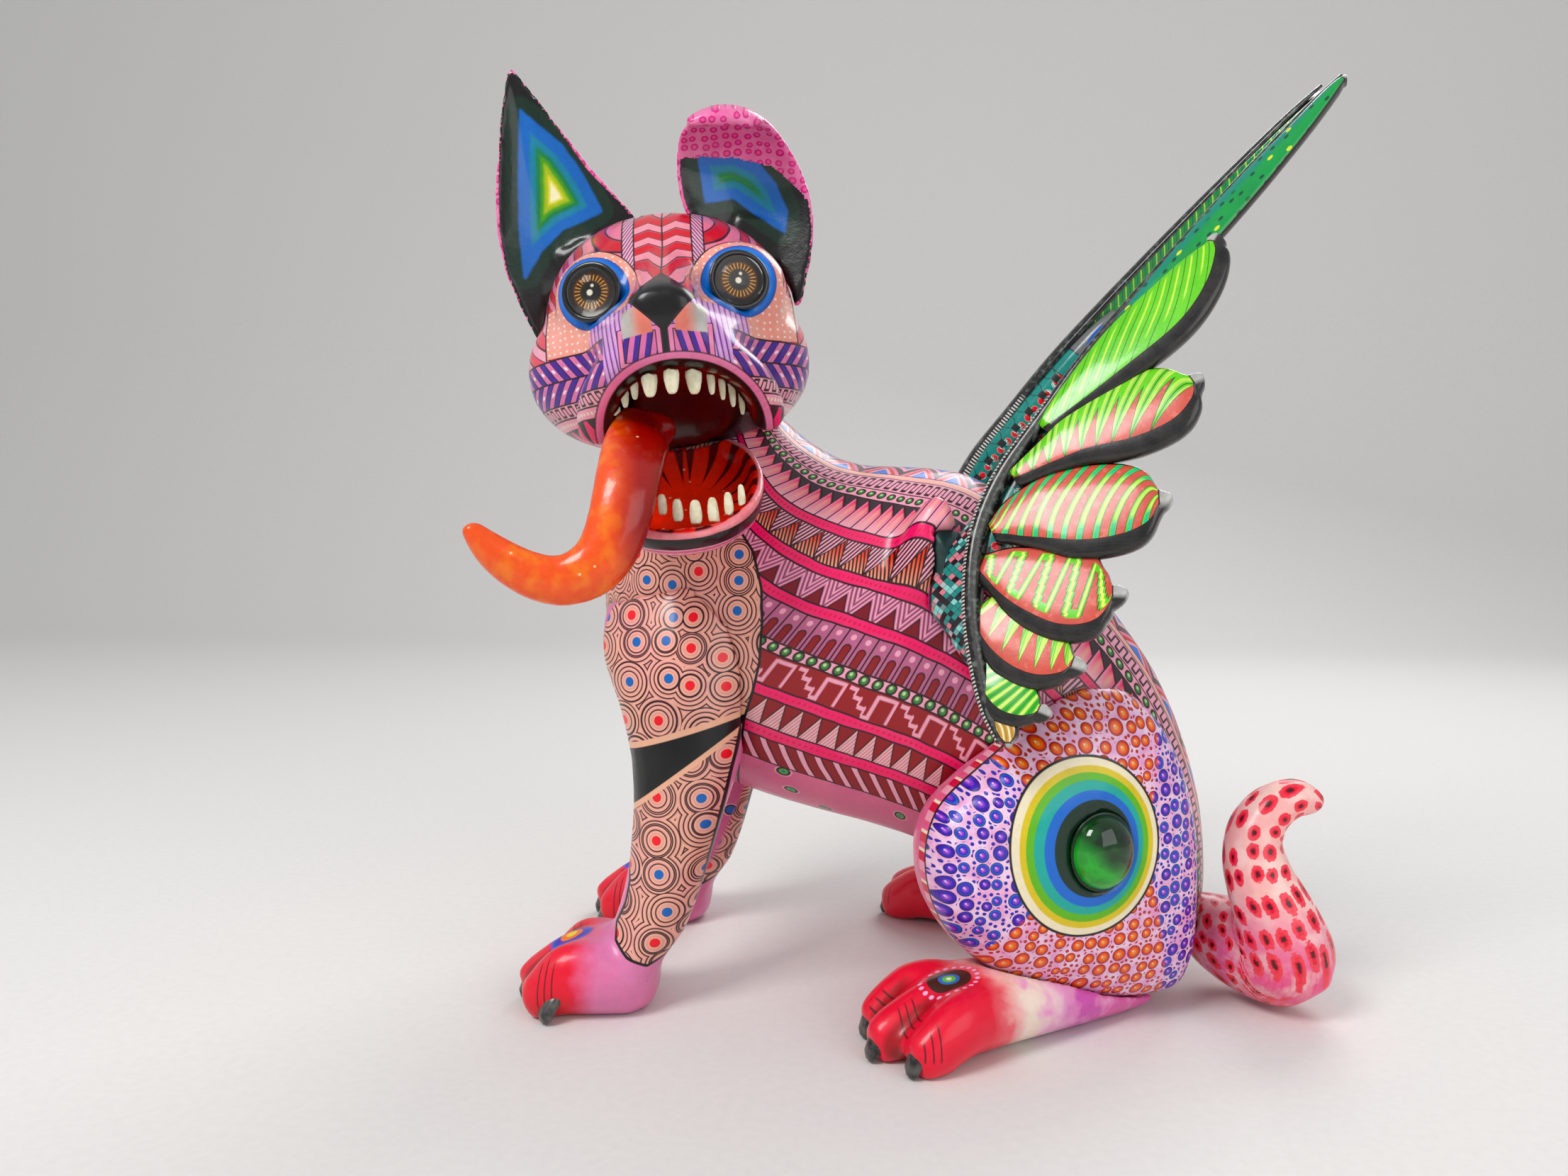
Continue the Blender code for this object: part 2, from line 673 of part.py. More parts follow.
def make_wing():
    pieces = [make_feather(spec) for spec in FEATHERS]
    _, _, out = wing_frame()
    rim = [(14, -50, 0, 2, 3), (8, -34, 0, 3, 4.5), (4, -16, 0, 4, 6), (4, 0, -1, 5, 7),
           (7, 14, -2, 6, 7.5), (13, 30, -2, 6.5, 7.5), (27, 54, -2, 6.5, 7.5),
           (38, 73, -2, 6, 7), (52, 95, -1, 5, 6), (62, 110, 0, 3.5, 4), (82, 139, 0, 2.8, 3.2),
           (98, 167, 0, 1.5, 2)]
    rows = [(*on_wing(c, u, w), a, b) for c, u, w, a, b in rim]
    pieces.append(bent_tube("rim", rows, flat=out, steps=2, around=12))
    fin = []
    for c, low, high, w, thick in [(-16, -8, 12, -7, 4.5), (-10, -14, 17, -5, 5),
                                   (-2, -24, 22, -2, 5), (6, -34, 28, 0, 4.5)]:
        middle = on_wing(c, (low + high) / 2, w)
        a = on_wing(c, high, w) - middle
        fin.append((*middle, *a, *(out * thick)))
    pieces.append(oval_tube("fin", fin, steps=3, around=18))
    return carve(join("wing_right", pieces), 1.7, 1, 880)


def right_wing_shift():
    root = Matrix.Translation(vec(*WING_ROOT))
    turn = Matrix.Rotation(math.radians(WING_TURN), 4, wing_frame()[2])
    return Matrix.Translation(vec(*WING_SHIFT)) @ root @ turn @ root.inverted()


def wing_plug(outward=WING_PLUG_REACH, grow=0.0):
    """The tenon, or its socket, along the way that the wing pulls out."""
    thick, high, length = WING_PLUG
    pull = Vector(WING_PULL).normalized()
    up = (Vector((0, 0, 1)) - pull * pull.z).normalized()
    mouth = on_wing(*WING_PLUG_MOUTH)
    reach = (length + outward + grow) / 2
    centre = mouth + pull * (outward - length - grow) / 2
    return bar("plug", centre * MM, ((thick + grow) * MM, (high + grow) * MM, reach * MM),
               (up.cross(pull), up, pull))


# ---------------------------------------------------------------- tail

def make_tail():
    rows = [
        (82, 1, 24, 10, 10), (92, -3, 19.5, 14, 14), (102, -12, 18, 16, 16),
        (107, -21, 20, 15.5, 15.5), (103, -22, 33, 13, 13), (98, -19, 45, 10.8, 10.8),
        (97, -16, 56, 9.3, 9.3), (101.5, -15, 65, 8, 8), (110.5, -15, 70, 6.3, 6.3),
        (118, -15, 66, 3.8, 3.8),
    ]
    tail = bent_tube("tail", rows, steps=3, around=16)
    return carve(tail, 1.8, 1, 380)


def tail_plug(grow=0.0):
    start = TAIL_ROOT - TAIL_PULL * (TAIL_PLUG_LENGTH + grow)
    return rod("plug", start * MM, (TAIL_ROOT + TAIL_PULL * TAIL_PLUG_REACH) * MM,
               (TAIL_PLUG_RADIUS + grow) * MM)


# ---------------------------------------------------------------- build

def clear_scene():
    for obj in list(bpy.data.objects):
        bpy.data.objects.remove(obj, do_unlink=True)


def neck_dowel(grow=0.0):
    low, high = Vector((-86, 0, 172)), Vector((-89, -7, 212))
    along = (high - low).normalized()
    return rod("neck_dowel", (low - along * grow) * MM, (high + along * grow) * MM,
               (DOWEL_RADIUS + grow) * MM)


def both(shape):
    """The left and right copies of a shape made for the right flank."""
    return {"right": shape, "left": mirror(shape, "twin")}


def finish(obj, name, colour, roughness=0.25):
    obj.name = name
    shade(obj)
    paint(obj, colour, roughness)


def build_legs(torso):
    haunches = both(make_haunch())
    feet, legs, gems, sockets = (both(make_hind_foot()), both(make_front_leg()),
                                 both(make_gem()), both(make_gem(GAP)))
    for word in ("left", "right"):
        trim_to(legs[word], torso)
        trim_to(haunches[word], torso)
        trim_to(feet[word], haunches[word], torso)
        finish(legs[word], "front_leg_" + word, PINK)
        finish(feet[word], "hind_foot_" + word, PINK)
        finish(gems[word], "haunch_gem_" + word, GLASS, 0.05)
    return haunches, sockets


def build_head(torso):
    head = trim_to(in_head(make_head()), torso)
    jaw = trim_to(in_head(make_jaw()), head, torso)
    tongue = trim_to(in_head(make_tongue()), head, jaw, torso)
    for k, spec in enumerate(UPPER_TEETH):
        tooth = trim_to(in_head(make_upper_tooth(*spec)), head, tongue)
        finish(tooth, "upper_tooth_%02d" % (k + 1), CREAM)
    for k, spec in enumerate(LOWER_TEETH):
        tooth = trim_to(in_head(make_lower_tooth(*spec)), jaw, tongue)
        finish(tooth, "lower_tooth_%d" % (k + 1), CREAM)
    ears = {-1: trim_to(in_head(make_upright_ear()), head),
            1: trim_to(in_head(make_folded_ear()), head)}
    for side, word in ((-1, "right"), (1, "left")):
        boolean(ears[side], in_head(make_ear_plug(side)), "UNION")
        boolean(head, in_head(make_ear_plug(side, PLUG_GAP)), "DIFFERENCE")
        boolean(head, in_head(make_eye(side, GAP)), "DIFFERENCE")
        finish(in_head(make_eye(side)), "eye_" + word, BROWN, 0.05)
        finish(ears[side], "ear_" + word, PINK)
    boolean(head, neck_dowel(GAP), "DIFFERENCE")
    finish(head, "head", PINK)
    finish(jaw, "lower_jaw", RED)
    finish(tongue, "tongue", RED)


def build_wings(torso, haunches):
    """Each wing with its tenon, and its socket in the torso."""
    shift = right_wing_shift()
    wings, plugs = both(make_wing()), both(wing_plug())
    sockets = both(wing_plug(WING_SOCKET_REACH, PLUG_GAP))
    for piece in (wings["right"], plugs["right"], sockets["right"]):
        piece.data.transform(shift)
    pull = Vector(WING_PULL).normalized()
    pulls = {"right": shift.to_3x3() @ pull, "left": Vector((pull.x, -pull.y, pull.z))}
    for word in ("left", "right"):
        trim_to(wings[word], torso, haunches[word])
        clear_way(wings[word], torso, pulls[word])
        boolean(wings[word], plugs[word], "UNION")
        finish(wings[word], "wing_" + word, GREEN)
    return sockets


def build():
    torso = make_torso()
    haunches, gem_sockets = build_legs(torso)
    build_head(torso)
    sockets = build_wings(torso, haunches)
    tail = trim_to(make_tail(), torso, haunches["left"], haunches["right"])
    boolean(tail, tail_plug(), "UNION")
    finish(tail, "tail", PINK)
    for word in ("left", "right"):
        boolean(haunches[word], gem_sockets[word], "DIFFERENCE")
        boolean(torso, sockets[word], "DIFFERENCE")
        finish(haunches[word], "haunch_" + word, PINK)
    boolean(torso, tail_plug(PLUG_GAP), "DIFFERENCE")
    boolean(torso, neck_dowel(GAP), "DIFFERENCE")
    finish(torso, "torso", PINK)
    finish(neck_dowel(), "neck_dowel", WOOD)
    centre_on_floor(pull_points())


def pull_points():
    """A point on the line along which each loose piece pulls out of its socket."""
    mouth = on_wing(*WING_PLUG_MOUTH) * MM
    return {
        "wing_right": right_wing_shift() @ mouth,
        "wing_left": Vector((mouth.x, -mouth.y, mouth.z)),
        "ear_right": head_matrix() @ (EAR_ROOTS[-1] * MM),
        "ear_left": head_matrix() @ (EAR_ROOTS[1] * MM),
        "tail": TAIL_ROOT * MM,
    }


def centre_on_floor(pivots):
    """Puts the middle of the whole figure over the origin, feet on the floor."""
    objects = list(bpy.data.objects)
    corners = np.array([v.co[:] for obj in objects for v in obj.data.vertices])
    low, high = corners.min(axis=0), corners.max(axis=0)
    shift = Vector((-(low[0] + high[0]) / 2, -(low[1] + high[1]) / 2, -low[2]))
    for obj in objects:
        middle = np.array([v.co[:] for v in obj.data.vertices]).mean(axis=0)
        seat = pivots.get(obj.name, Vector([round(float(value), 4) for value in middle]))
        obj.data.transform(Matrix.Translation(-seat))
        obj.location = seat + shift


clear_scene()
build()
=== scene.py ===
"""Looks of the winged alebrije dog: carved copal wood, brush-painted bands and varnish."""
import json
import math

import bmesh
import bpy
import numpy as np
from mathutils import Euler, Matrix, Vector


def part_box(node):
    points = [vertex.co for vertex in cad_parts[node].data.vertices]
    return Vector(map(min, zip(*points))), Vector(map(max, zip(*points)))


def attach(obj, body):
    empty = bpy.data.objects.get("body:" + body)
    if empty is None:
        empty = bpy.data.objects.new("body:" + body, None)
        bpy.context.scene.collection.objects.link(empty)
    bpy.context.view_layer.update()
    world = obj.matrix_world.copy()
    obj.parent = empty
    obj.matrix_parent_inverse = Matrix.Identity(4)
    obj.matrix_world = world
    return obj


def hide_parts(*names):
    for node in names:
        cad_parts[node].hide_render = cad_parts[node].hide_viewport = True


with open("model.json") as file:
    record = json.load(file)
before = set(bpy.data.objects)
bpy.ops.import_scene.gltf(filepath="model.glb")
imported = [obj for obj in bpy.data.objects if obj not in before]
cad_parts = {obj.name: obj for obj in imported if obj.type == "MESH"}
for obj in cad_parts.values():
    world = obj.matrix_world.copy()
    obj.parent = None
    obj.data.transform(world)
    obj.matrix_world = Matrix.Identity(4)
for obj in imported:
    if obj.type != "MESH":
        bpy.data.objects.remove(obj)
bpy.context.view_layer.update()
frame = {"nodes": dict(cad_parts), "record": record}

MM = 0.001
BODY_OF = {node: body for body, members in frame["record"]["behaviour"]["bodies"].items()
    for node in members}
dowel_low, dowel_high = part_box("neck_dowel")
DOWEL_MIDDLE = Vector((-87.5, -3.5, 192))     # of the neck dowel, in the design's own frame, mm
SHIFT = (dowel_low + dowel_high) / 2 / MM - DOWEL_MIDDLE     # from that frame to the room's
SKYWARD = Vector((0, 0, 1))
SIDES = ("left", "right")


# ---- colours

def rgb(code):
    """A colour written as six hex digits, made linear."""
    parts = [int(code[i:i + 2], 16) / 255 for i in (0, 2, 4)]
    return tuple(p / 12.92 if p <= 0.04045 else ((p + 0.055) / 1.055) ** 2.4 for p in parts) + (1,)


INK = "2a0c12"
BLACK = "0b0a0a"
HOT = "ef4a78"
PINK = "e8809c"
PALE = "efa9bb"
MAUVE = "b8688a"
MAROON = "7a1420"
RED = "cf1f22"
BRIGHT = "f03318"
SALMON = "ee9584"
PEACH = "edb79a"
CREAM = "f0e4c4"
LILAC = "c48fd0"
PURPLE = "4c3192"
BLUE = "1e6fd0"
TEAL = "1fa79a"
YELLOW = "dcc21c"
DARK_GREEN = "0c2b1c"


# ---- paint formulas

class Num:
    """A number on a painted surface; arithmetic on it adds shader nodes."""

    def __init__(self, sheet, socket):
        self.sheet = sheet
        self.socket = socket

    def _op(self, operation, *others, clamp=False):
        return self.sheet.op(operation, self, *others, clamp=clamp)

    def __add__(self, other):
        return self._op("ADD", other)

    __radd__ = __add__

    def __sub__(self, other):
        return self._op("SUBTRACT", other)

    def __rsub__(self, other):
        return self.sheet.op("SUBTRACT", other, self)

    def __mul__(self, other):
        return self._op("MULTIPLY", other)

    __rmul__ = __mul__

    def __truediv__(self, other):
        return self._op("DIVIDE", other)

    def __abs__(self):
        return self._op("ABSOLUTE")

    def floor(self):
        return self._op("FLOOR")

    def low(self, other):
        return self._op("MINIMUM", other)

    def high(self, other):
        return self._op("MAXIMUM", other)

    def saw(self, period, offset=0):
        """0 to 1 over each period."""
        return (self / period + offset)._op("FRACT")

    def wave(self, period, offset=0):
        """0 to 1 and back over each period."""
        return abs(self.saw(period, offset) * 2 - 1)

    def below(self, limit, soft=0.25):
        """1 where the number is under the limit, with a soft edge."""
        return self.sheet.op("MULTIPLY_ADD", self - limit, -1 / soft, 0.5, clamp=True)

    def above(self, limit, soft=0.25):
        return self.sheet.op("MULTIPLY_ADD", self - limit, 1 / soft, 0.5, clamp=True)

    def between(self, low, high, soft=0.25):
        return self.above(low, soft) * self.below(high, soft)

    def near(self, value, width, soft=0.25):
        """1 on a line of this width where the number is the value."""
        return abs(self - value).below(width / 2, soft)


class Sheet:
    """One painted finish."""

    def __init__(self, name):
        self.material = bpy.data.materials.new(name)
        self.material.use_nodes = True
        self.tree = self.material.node_tree
        self.shader = self.tree.nodes["Principled BSDF"]

    def node(self, kind, **settings):
        made = self.tree.nodes.new(kind)
        for key, value in settings.items():
            setattr(made, key, value)
        return made

    def plug(self, value, socket):
        if isinstance(value, str):
            value = rgb(value)
        if isinstance(value, Num):
            value = value.socket
        if isinstance(value, bpy.types.NodeSocket):
            self.tree.links.new(value, socket)
        else:
            socket.default_value = value

    def op(self, operation, *values, clamp=False):
        made = self.node("ShaderNodeMath", operation=operation, use_clamp=clamp)
        for value, socket in zip(values, made.inputs):
            self.plug(value, socket)
        return Num(self, made.outputs[0])

    def coords(self, attribute):
        """The three numbers of a named attribute."""
        made = self.node("ShaderNodeAttribute", attribute_name=attribute)
        parts = self.node("ShaderNodeSeparateXYZ")
        self.plug(made.outputs["Vector"], parts.inputs[0])
        return [Num(self, output) for output in parts.outputs]

    def place(self):
        """Millimetres in the room's frame."""
        made = self.node("ShaderNodeTexCoord")
        scale = self.node("ShaderNodeVectorMath", operation="SCALE")
        self.plug(made.outputs["Object"], scale.inputs[0])
        scale.inputs["Scale"].default_value = 1000
        return scale.outputs[0]

    def place_xyz(self):
        parts = self.node("ShaderNodeSeparateXYZ")
        self.plug(self.place(), parts.inputs[0])
        return [Num(self, output) for output in parts.outputs]

    def vector(self, x, y, z=0):
        made = self.node("ShaderNodeCombineXYZ")
        for value, socket in zip((x, y, z), made.inputs):
            self.plug(value, socket)
        return made.outputs[0]

    def noise(self, size, detail=2, at=None, rough=0.5):
        """Smooth variation about 0.5, with features of this size in mm."""
        made = self.node("ShaderNodeTexNoise")
        self.plug(at if at is not None else self.place(), made.inputs["Vector"])
        made.inputs["Scale"].default_value = 1 / size
        made.inputs["Detail"].default_value = detail
        made.inputs["Roughness"].default_value = rough
        return Num(self, made.outputs["Fac"])

    def cells(self, at, size, spread=0.8, flat=True):
        """Scattered cells: distance to the nearest point in mm, radius of the round that fits
        inside its cell in mm, and a random number per cell."""
        found = []
        for feature in ("F1", "N_SPHERE_RADIUS"):
            made = self.node("ShaderNodeTexVoronoi", feature=feature, voronoi_dimensions="2D"
                if flat else "3D")
            self.plug(at, made.inputs["Vector"])
            made.inputs["Scale"].default_value = 1 / size
            made.inputs["Randomness"].default_value = spread
            found.append(made)
        parts = self.node("ShaderNodeSeparateXYZ")
        self.plug(found[0].outputs["Color"], parts.inputs[0])
        return (Num(self, found[0].outputs["Distance"]) * size,
            Num(self, found[1].outputs["Radius"]) * size, Num(self, parts.outputs[0]),
            Num(self, parts.outputs[1]))

    def mottled(self, first, second, size):
        """Two colours run into each other in soft patches of this size in mm."""
        return over(first, second, self.noise(size))

    def fixed(self, **numbers):
        """Sets plain numbers on the shader; an underscore stands for a space."""
        for name, number in numbers.items():
            self.shader.inputs[name.replace("_", " ")].default_value = number

    def done(self, colour, rough=0.30, gloss=0.6, height=None, depth=0.15, wear=0.5):
        """Brush variation, worn varnish and the relief of the paint."""
        streak = self.noise(2.2, 4)
        cloud = self.noise(14, 2)
        tone = self.node("ShaderNodeHueSaturation")
        self.plug(colour, tone.inputs["Color"])
        self.plug((streak - 0.5) * 0.35 * wear + (cloud - 0.5) * 0.3 * wear + 1,
            tone.inputs["Value"])
        self.plug((cloud - 0.5) * 0.25 * wear + 1.08, tone.inputs["Saturation"])
        self.plug(tone.outputs[0], self.shader.inputs["Base Color"])
        self.plug((streak - 0.5) * 0.25 + (cloud - 0.5) * 0.2 + rough,
            self.shader.inputs["Roughness"])
        self.fixed(Coat_Weight=gloss * 0.55, Specular_IOR_Level=0.32, Coat_Roughness=0.12)
        relief = streak * 0.5 + self.noise(0.7, 2) * 0.25
        if height is not None:
            relief = relief + height
        bump = self.node("ShaderNodeBump")
        bump.inputs["Strength"].default_value = 0.6
        bump.inputs["Distance"].default_value = depth * MM
        self.plug(relief, bump.inputs["Height"])
        self.plug(bump.outputs[0], self.shader.inputs["Normal"])
        return self.material


def over(base, colour, mask):
    """Lays a colour over another one where the mask is 1."""
    made = mask.sheet.node("ShaderNodeMix", data_type="RGBA")
    for value, socket in ((mask, 0), (base, 6), (colour, 7)):
        mask.sheet.plug(value, made.inputs[socket])
    return made.outputs[2]


def layers(base, *pairs):
    for colour, mask in pairs:
        base = over(base, colour, mask)
    return base


def levels(value, first, *pairs, soft=0.25):
    """Colours in steps as the value rises past each limit."""
    return layers(first, *[(after, value.above(limit, soft)) for limit, after in pairs])


# ---- shapes

def spline(rows, steps):
    """Catmull-Rom rows through the given rows of numbers."""
    table = np.array(rows, float)
    padded = np.vstack([2 * table[0] - table[1], table, 2 * table[-1] - table[-2]])
    result = []
    for i in range(len(table) - 1):
        a, b, c, d = padded[i:i + 4]
        for k in range(steps):
            t = k / steps
            result.append(0.5 * (2 * b + (c - a) * t + (2 * a - 5 * b + 4 * c - d) * t * t
                + (3 * b - a - 3 * c + d) * t ** 3))
    result.append(table[-1])
    return np.array(result)


def per_vertex(obj, what):
    flat = np.zeros(len(obj.data.vertices) * 3)
    obj.data.vertices.foreach_get(what, flat)
    return flat.reshape(-1, 3)


def points_of(obj):
    """Vertex places in mm, in the room's frame."""
    return per_vertex(obj, "co") / MM


def on_axes(obj, origin, *axes):
    """Vertex places measured from a point along some directions, in mm."""
    rel = points_of(obj) - np.array(origin)
    return np.column_stack([rel @ np.array(axis) for axis in axes])


def upright(way):
    """The direction square to another one that points up the most."""
    return (SKYWARD - way * way.z).normalized()


def turns(count):
    return [2 * math.pi * i / count for i in range(count)]


def blunt(value, power):
    """A cosine or sine made squarer, with its sign."""
    return math.copysign(abs(value) ** power, value)


def along_path(middle):
    """Direction at each point of a path, and the length up to it."""
    ways = np.gradient(middle, axis=0)
    ways /= np.linalg.norm(ways, axis=1)[:, None]
    steps = np.linalg.norm(np.diff(middle, axis=0), axis=1)
    return ways, np.concatenate([[0], np.cumsum(steps)])


def write(obj, name, table):
    """Stores three numbers on each vertex for the paint to read."""
    layer = obj.data.attributes.new(name, "FLOAT_VECTOR", "POINT")
    layer.data.foreach_set("vector", np.ascontiguousarray(table, dtype=np.float32).ravel())


def new_object(name, mesh):
    obj = bpy.data.objects.new(name, mesh)
    bpy.context.scene.collection.objects.link(obj)
    return obj


def carved(node, voxel, rounds):
    """A fine, rounded copy of a CAD piece."""
    mesh = bpy.data.meshes.new(node)
    bm = bmesh.new()
    bm.from_mesh(frame["nodes"][node].data)
    bmesh.ops.remove_doubles(bm, verts=bm.verts, dist=1e-6)
    bm.to_mesh(mesh)
    bm.free()
    obj = new_object("carved_" + node, mesh)
    for kind, settings in (("SUBSURF", {"levels": 1}), ("REMESH",
            {"mode": "VOXEL", "voxel_size": voxel * MM}), ("SMOOTH",
            {"factor": 0.5, "iterations": rounds})):
        modifier = obj.modifiers.new(kind, kind)
        for key, value in settings.items():
            setattr(modifier, key, value)
    bpy.context.view_layer.update()
    fine = obj.evaluated_get(bpy.context.evaluated_depsgraph_get())
    mesh = bpy.data.meshes.new_from_object(fine)
    obj.modifiers.clear()
    obj.data = mesh
    mesh.shade_smooth()
    return obj


def settle(obj, node, material):
    """Puts a finished piece on the body of the node that it stands for."""
    obj.data.materials.append(material)
    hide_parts(node)
    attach(obj, BODY_OF[node])


def trim_piece(obj, node, material):
    """Puts a small extra piece on the same body as a node."""
    obj.data.materials.append(material)
    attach(obj, BODY_OF[node])


def polygon_distance(points, corners):
    """Distance in mm to a closed outline, negative inside it."""
    corners = np.array(corners, float)
    best = np.full(len(points), 1e9)
    inside = np.zeros(len(points), bool)
    for a, b in zip(corners, np.roll(corners, -1, axis=0)):
        edge = b - a
        t = np.clip(((points - a) @ edge) / (edge @ edge), 0, 1)
        best = np.minimum(best, np.linalg.norm(points - a - t[:, None] * edge, axis=1))
        crosses = (a[1] > points[:, 1]) != (b[1] > points[:, 1])
        slope = edge[0] / edge[1] if abs(edge[1]) > 1e-9 else 0
        inside ^= crosses & (points[:, 0] < a[0] + (points[:, 1] - a[1]) * slope)
    return np.where(inside, -best, best)


def finished(name, bm):
    mesh = bpy.data.meshes.new(name)
    bm.to_mesh(mesh)
    bm.free()
    mesh.shade_smooth()
    return new_object(name, mesh)


def lathe_like(name, loops, wrapped=False):
    """A skin over equal loops of points in mm, capped or wrapped into a ring."""
    bm = bmesh.new()
    rings = [[bm.verts.new(Vector(p) * MM) for p in loop] for loop in loops]
    for low, high in zip(rings, rings[1:] + (rings[:1] if wrapped else [])):
        for i in range(len(low)):
            j = (i + 1) % len(low)
            bm.faces.new((low[i], low[j], high[j], high[i]))
    if not wrapped:
        for ring in (rings[0], rings[-1]):
            middle = bm.verts.new(sum((v.co for v in ring), Vector()) / len(ring))
            for i in range(len(ring)):
                bm.faces.new((ring[i], ring[(i + 1) % len(ring)], middle))
    bmesh.ops.recalc_face_normals(bm, faces=bm.faces)
    return finished(name, bm)


def ring_shape(name, centre, axis, radius, tube, stretch=1):
    """A rolled ring about an axis; stretch pulls it long in the upward direction."""
    up = upright(axis)
    side = up.cross(axis)
    loops = []
    for angle in turns(64):
        out = side * math.cos(angle) + up * math.sin(angle) * stretch
        loops.append([centre + out * (radius + tube * math.cos(turn))
            + axis * tube * 0.7 * math.sin(turn) for turn in turns(14)])
    return lathe_like(name, loops, wrapped=True)


# ---- camera, light and floor

SENSOR = 36                         # mm
FOCAL = 1662 / 2212                   # focal length as a share of the photo's width
CAMERA_AT = Vector((0, -405, 160))    # mm, in the design's frame
CAMERA_PITCH = 3.63                   # degrees down
CAMERA_TURN = 8
LAMPS = [                             # name, place in m, size in m, power
    ("key", (-0.55, -0.75, 1.05), 0.45, 9), ("fill", (0.9, -0.9, 0.6), 0.9, 4),
    ("rim", (0.35, 0.8, 0.9), 0.6, 5)]
LAMPS_LOOK_AT = Vector((0, 0, 0.13))


def build_stage():
    scene = bpy.context.scene
    camera = bpy.data.cameras.new("camera")
    camera.sensor_width = SENSOR
    camera.lens = SENSOR * FOCAL
    camera.clip_start = 0.01
    camera.clip_end = 20
    eye = new_object("camera", camera)
    eye.location = (CAMERA_AT + SHIFT) * MM
    eye.rotation_euler = Euler((math.radians(90 - CAMERA_PITCH), 0, math.radians(CAMERA_TURN)))
    scene.camera = eye
    world = bpy.data.worlds.new("room")
    scene.world = world
    world.use_nodes = True
    sky = world.node_tree.nodes["Background"].inputs
    sky[0].default_value = (0.93, 0.95, 1, 1)
    sky[1].default_value = 0.55
    for name, place, size, power in LAMPS:
        light = bpy.data.lights.new(name, "AREA")
        light.size = size
        light.energy = power
        lamp = new_object(name, light)
        lamp.location = place
        lamp.rotation_euler = (LAMPS_LOOK_AT - Vector(place)).to_track_quat("-Z", "Y").to_euler()
    bm = bmesh.new()
    wide = 3
    rows = [(-1.6, 0)] + [(1 + 0.5 * math.sin(t), 0.5 - 0.5 * math.cos(t))
        for t in np.linspace(0, math.pi / 2, 12)] + [(1.5, 2.6)]
    edges = [[bm.verts.new((x, y, z)) for x in (-wide, wide)] for y, z in rows]
    for a, b in zip(edges, edges[1:]):
        bm.faces.new((a[0], a[1], b[1], b[0]))
    floor = finished("floor", bm)
    sheet = Sheet("floor_paper")
    colour = over("dcdad6", "e6e4e0", sheet.noise(3, 3))
    sheet.plug(colour, sheet.shader.inputs["Base Color"])
    sheet.fixed(Roughness=0.75)
    floor.data.materials.append(sheet.material)
    scene.view_settings.view_transform = "Standard"


# ---- torso

SPINE = [  # middle x, z, half vector x, z toward the back, half width
    (-86, 196, 23, 2, 20), (-85, 184, 29, 8, 25), (-83, 166, 36, 18, 32),
    (-75, 145, 43, 32, 36), (-57, 128, 45, 48, 39), (-29, 118, 36, 55, 41),
    (-1, 107, 27, 53, 41), (23, 91, 24, 46, 39), (43, 69, 25, 39, 36),
    (59, 47, 22, 27, 31), (68, 28, 17, 15, 24), (72, 18, 11, 5, 16),
]
PANEL = [  # outline of the ringed chest and leg panel, x and z in mm in the room's frame
    (-160, 190), (-60, 190), (-56, 164), (-52.8, 155.6), (-47, 146.9), (-44, 135.3),
    (-43.7, 124), (-44.6, 111.7), (-46.9, 102.4), (-50.3, 92.8), (-52, 83.4), (-54.7, 71.9),
    (-57.5, 60.7), (-60.8, 48.5), (-63.5, 38), (-67, 27), (-72, 19.5), (-78.3, 17),
    (-84, 20), (-88.5, 24.5), (-89.5, 28.9), (-86.4, 35), (-85, 42.5), (-87, 52), (-160, 60),
]


def skin_coords(obj):
    """Along the back in mm, share of the way from spine to belly, and that way's length."""
    table = spline(SPINE, 12)
    _, lengths = along_path(table[:, :2])
    places = points_of(obj) - np.array(SHIFT)
    result = np.zeros((len(places), 3))
    half = table[:, 2:4]
    size = np.hypot(half[:, 0], half[:, 1])
    last = len(table) - 1
    for k in range(0, len(places), 4000):
        part = places[k:k + 4000]
        reach = part[:, None, [0, 2]] - table[None, :, :2]
        up = (reach * half).sum(2) / size ** 2
        off = (reach[:, :, 0] * half[:, 1] - reach[:, :, 1] * half[:, 0]) / size
        cost = np.abs(off) + np.maximum(0, np.abs(up) - 1.2) * 200
        best = cost.argmin(axis=1)
        row = np.arange(len(part))
        here = off[row, best]
        ahead = off[row, np.minimum(best + 1, last)]
        # the exact place between the two nearest sections, so that the bands run smoothly
        other = np.where(here * ahead < 0, np.minimum(best + 1, last), np.maximum(best - 1, 0))
        there = off[row, other]
        t = np.where(here * there < 0, here / np.where(here == there, 1, here - there), 0)
        mix = [(1 - t) * column[best] + t * column[other] for column in (lengths, table[:, 4],
            size)]
        tall = (1 - t) * up[row, best] + t * up[row, other]
        result[k:k + len(part), 0] = mix[0]
        result[k:k + len(part), 1] = np.arctan2(np.abs(part[:, 1]) / mix[1], tall) / math.pi
        result[k:k + len(part), 2] = (mix[1] + mix[2]) / 2 * math.pi
    return result


def length(*parts):
    """Root of the summed squares."""
    total = parts[0] * parts[0]
    for part in parts[1:]:
        total = total + part * part
    return total.sheet.op("SQRT", total)


def circle(x, y, radius):
    """1 inside a round spot, in mm."""
    return length(x, y).below(radius, 0.3)


def dotted(u, f, tall, period, radius, base):
    """A row of ringed green beads, each with a painted highlight set off its middle."""
    x = (u.saw(period) - 0.5) * period
    y = (f - 0.5) * tall
    # the pale spot set off the middle of each bead is a painted highlight
    return layers(base, (INK, circle(x, y, radius * 1.25)), ("3f7f43", circle(x, y, radius * 0.8)),
        ("bfd79c", circle(x + 0.2, y + 0.25, radius * 0.38)))


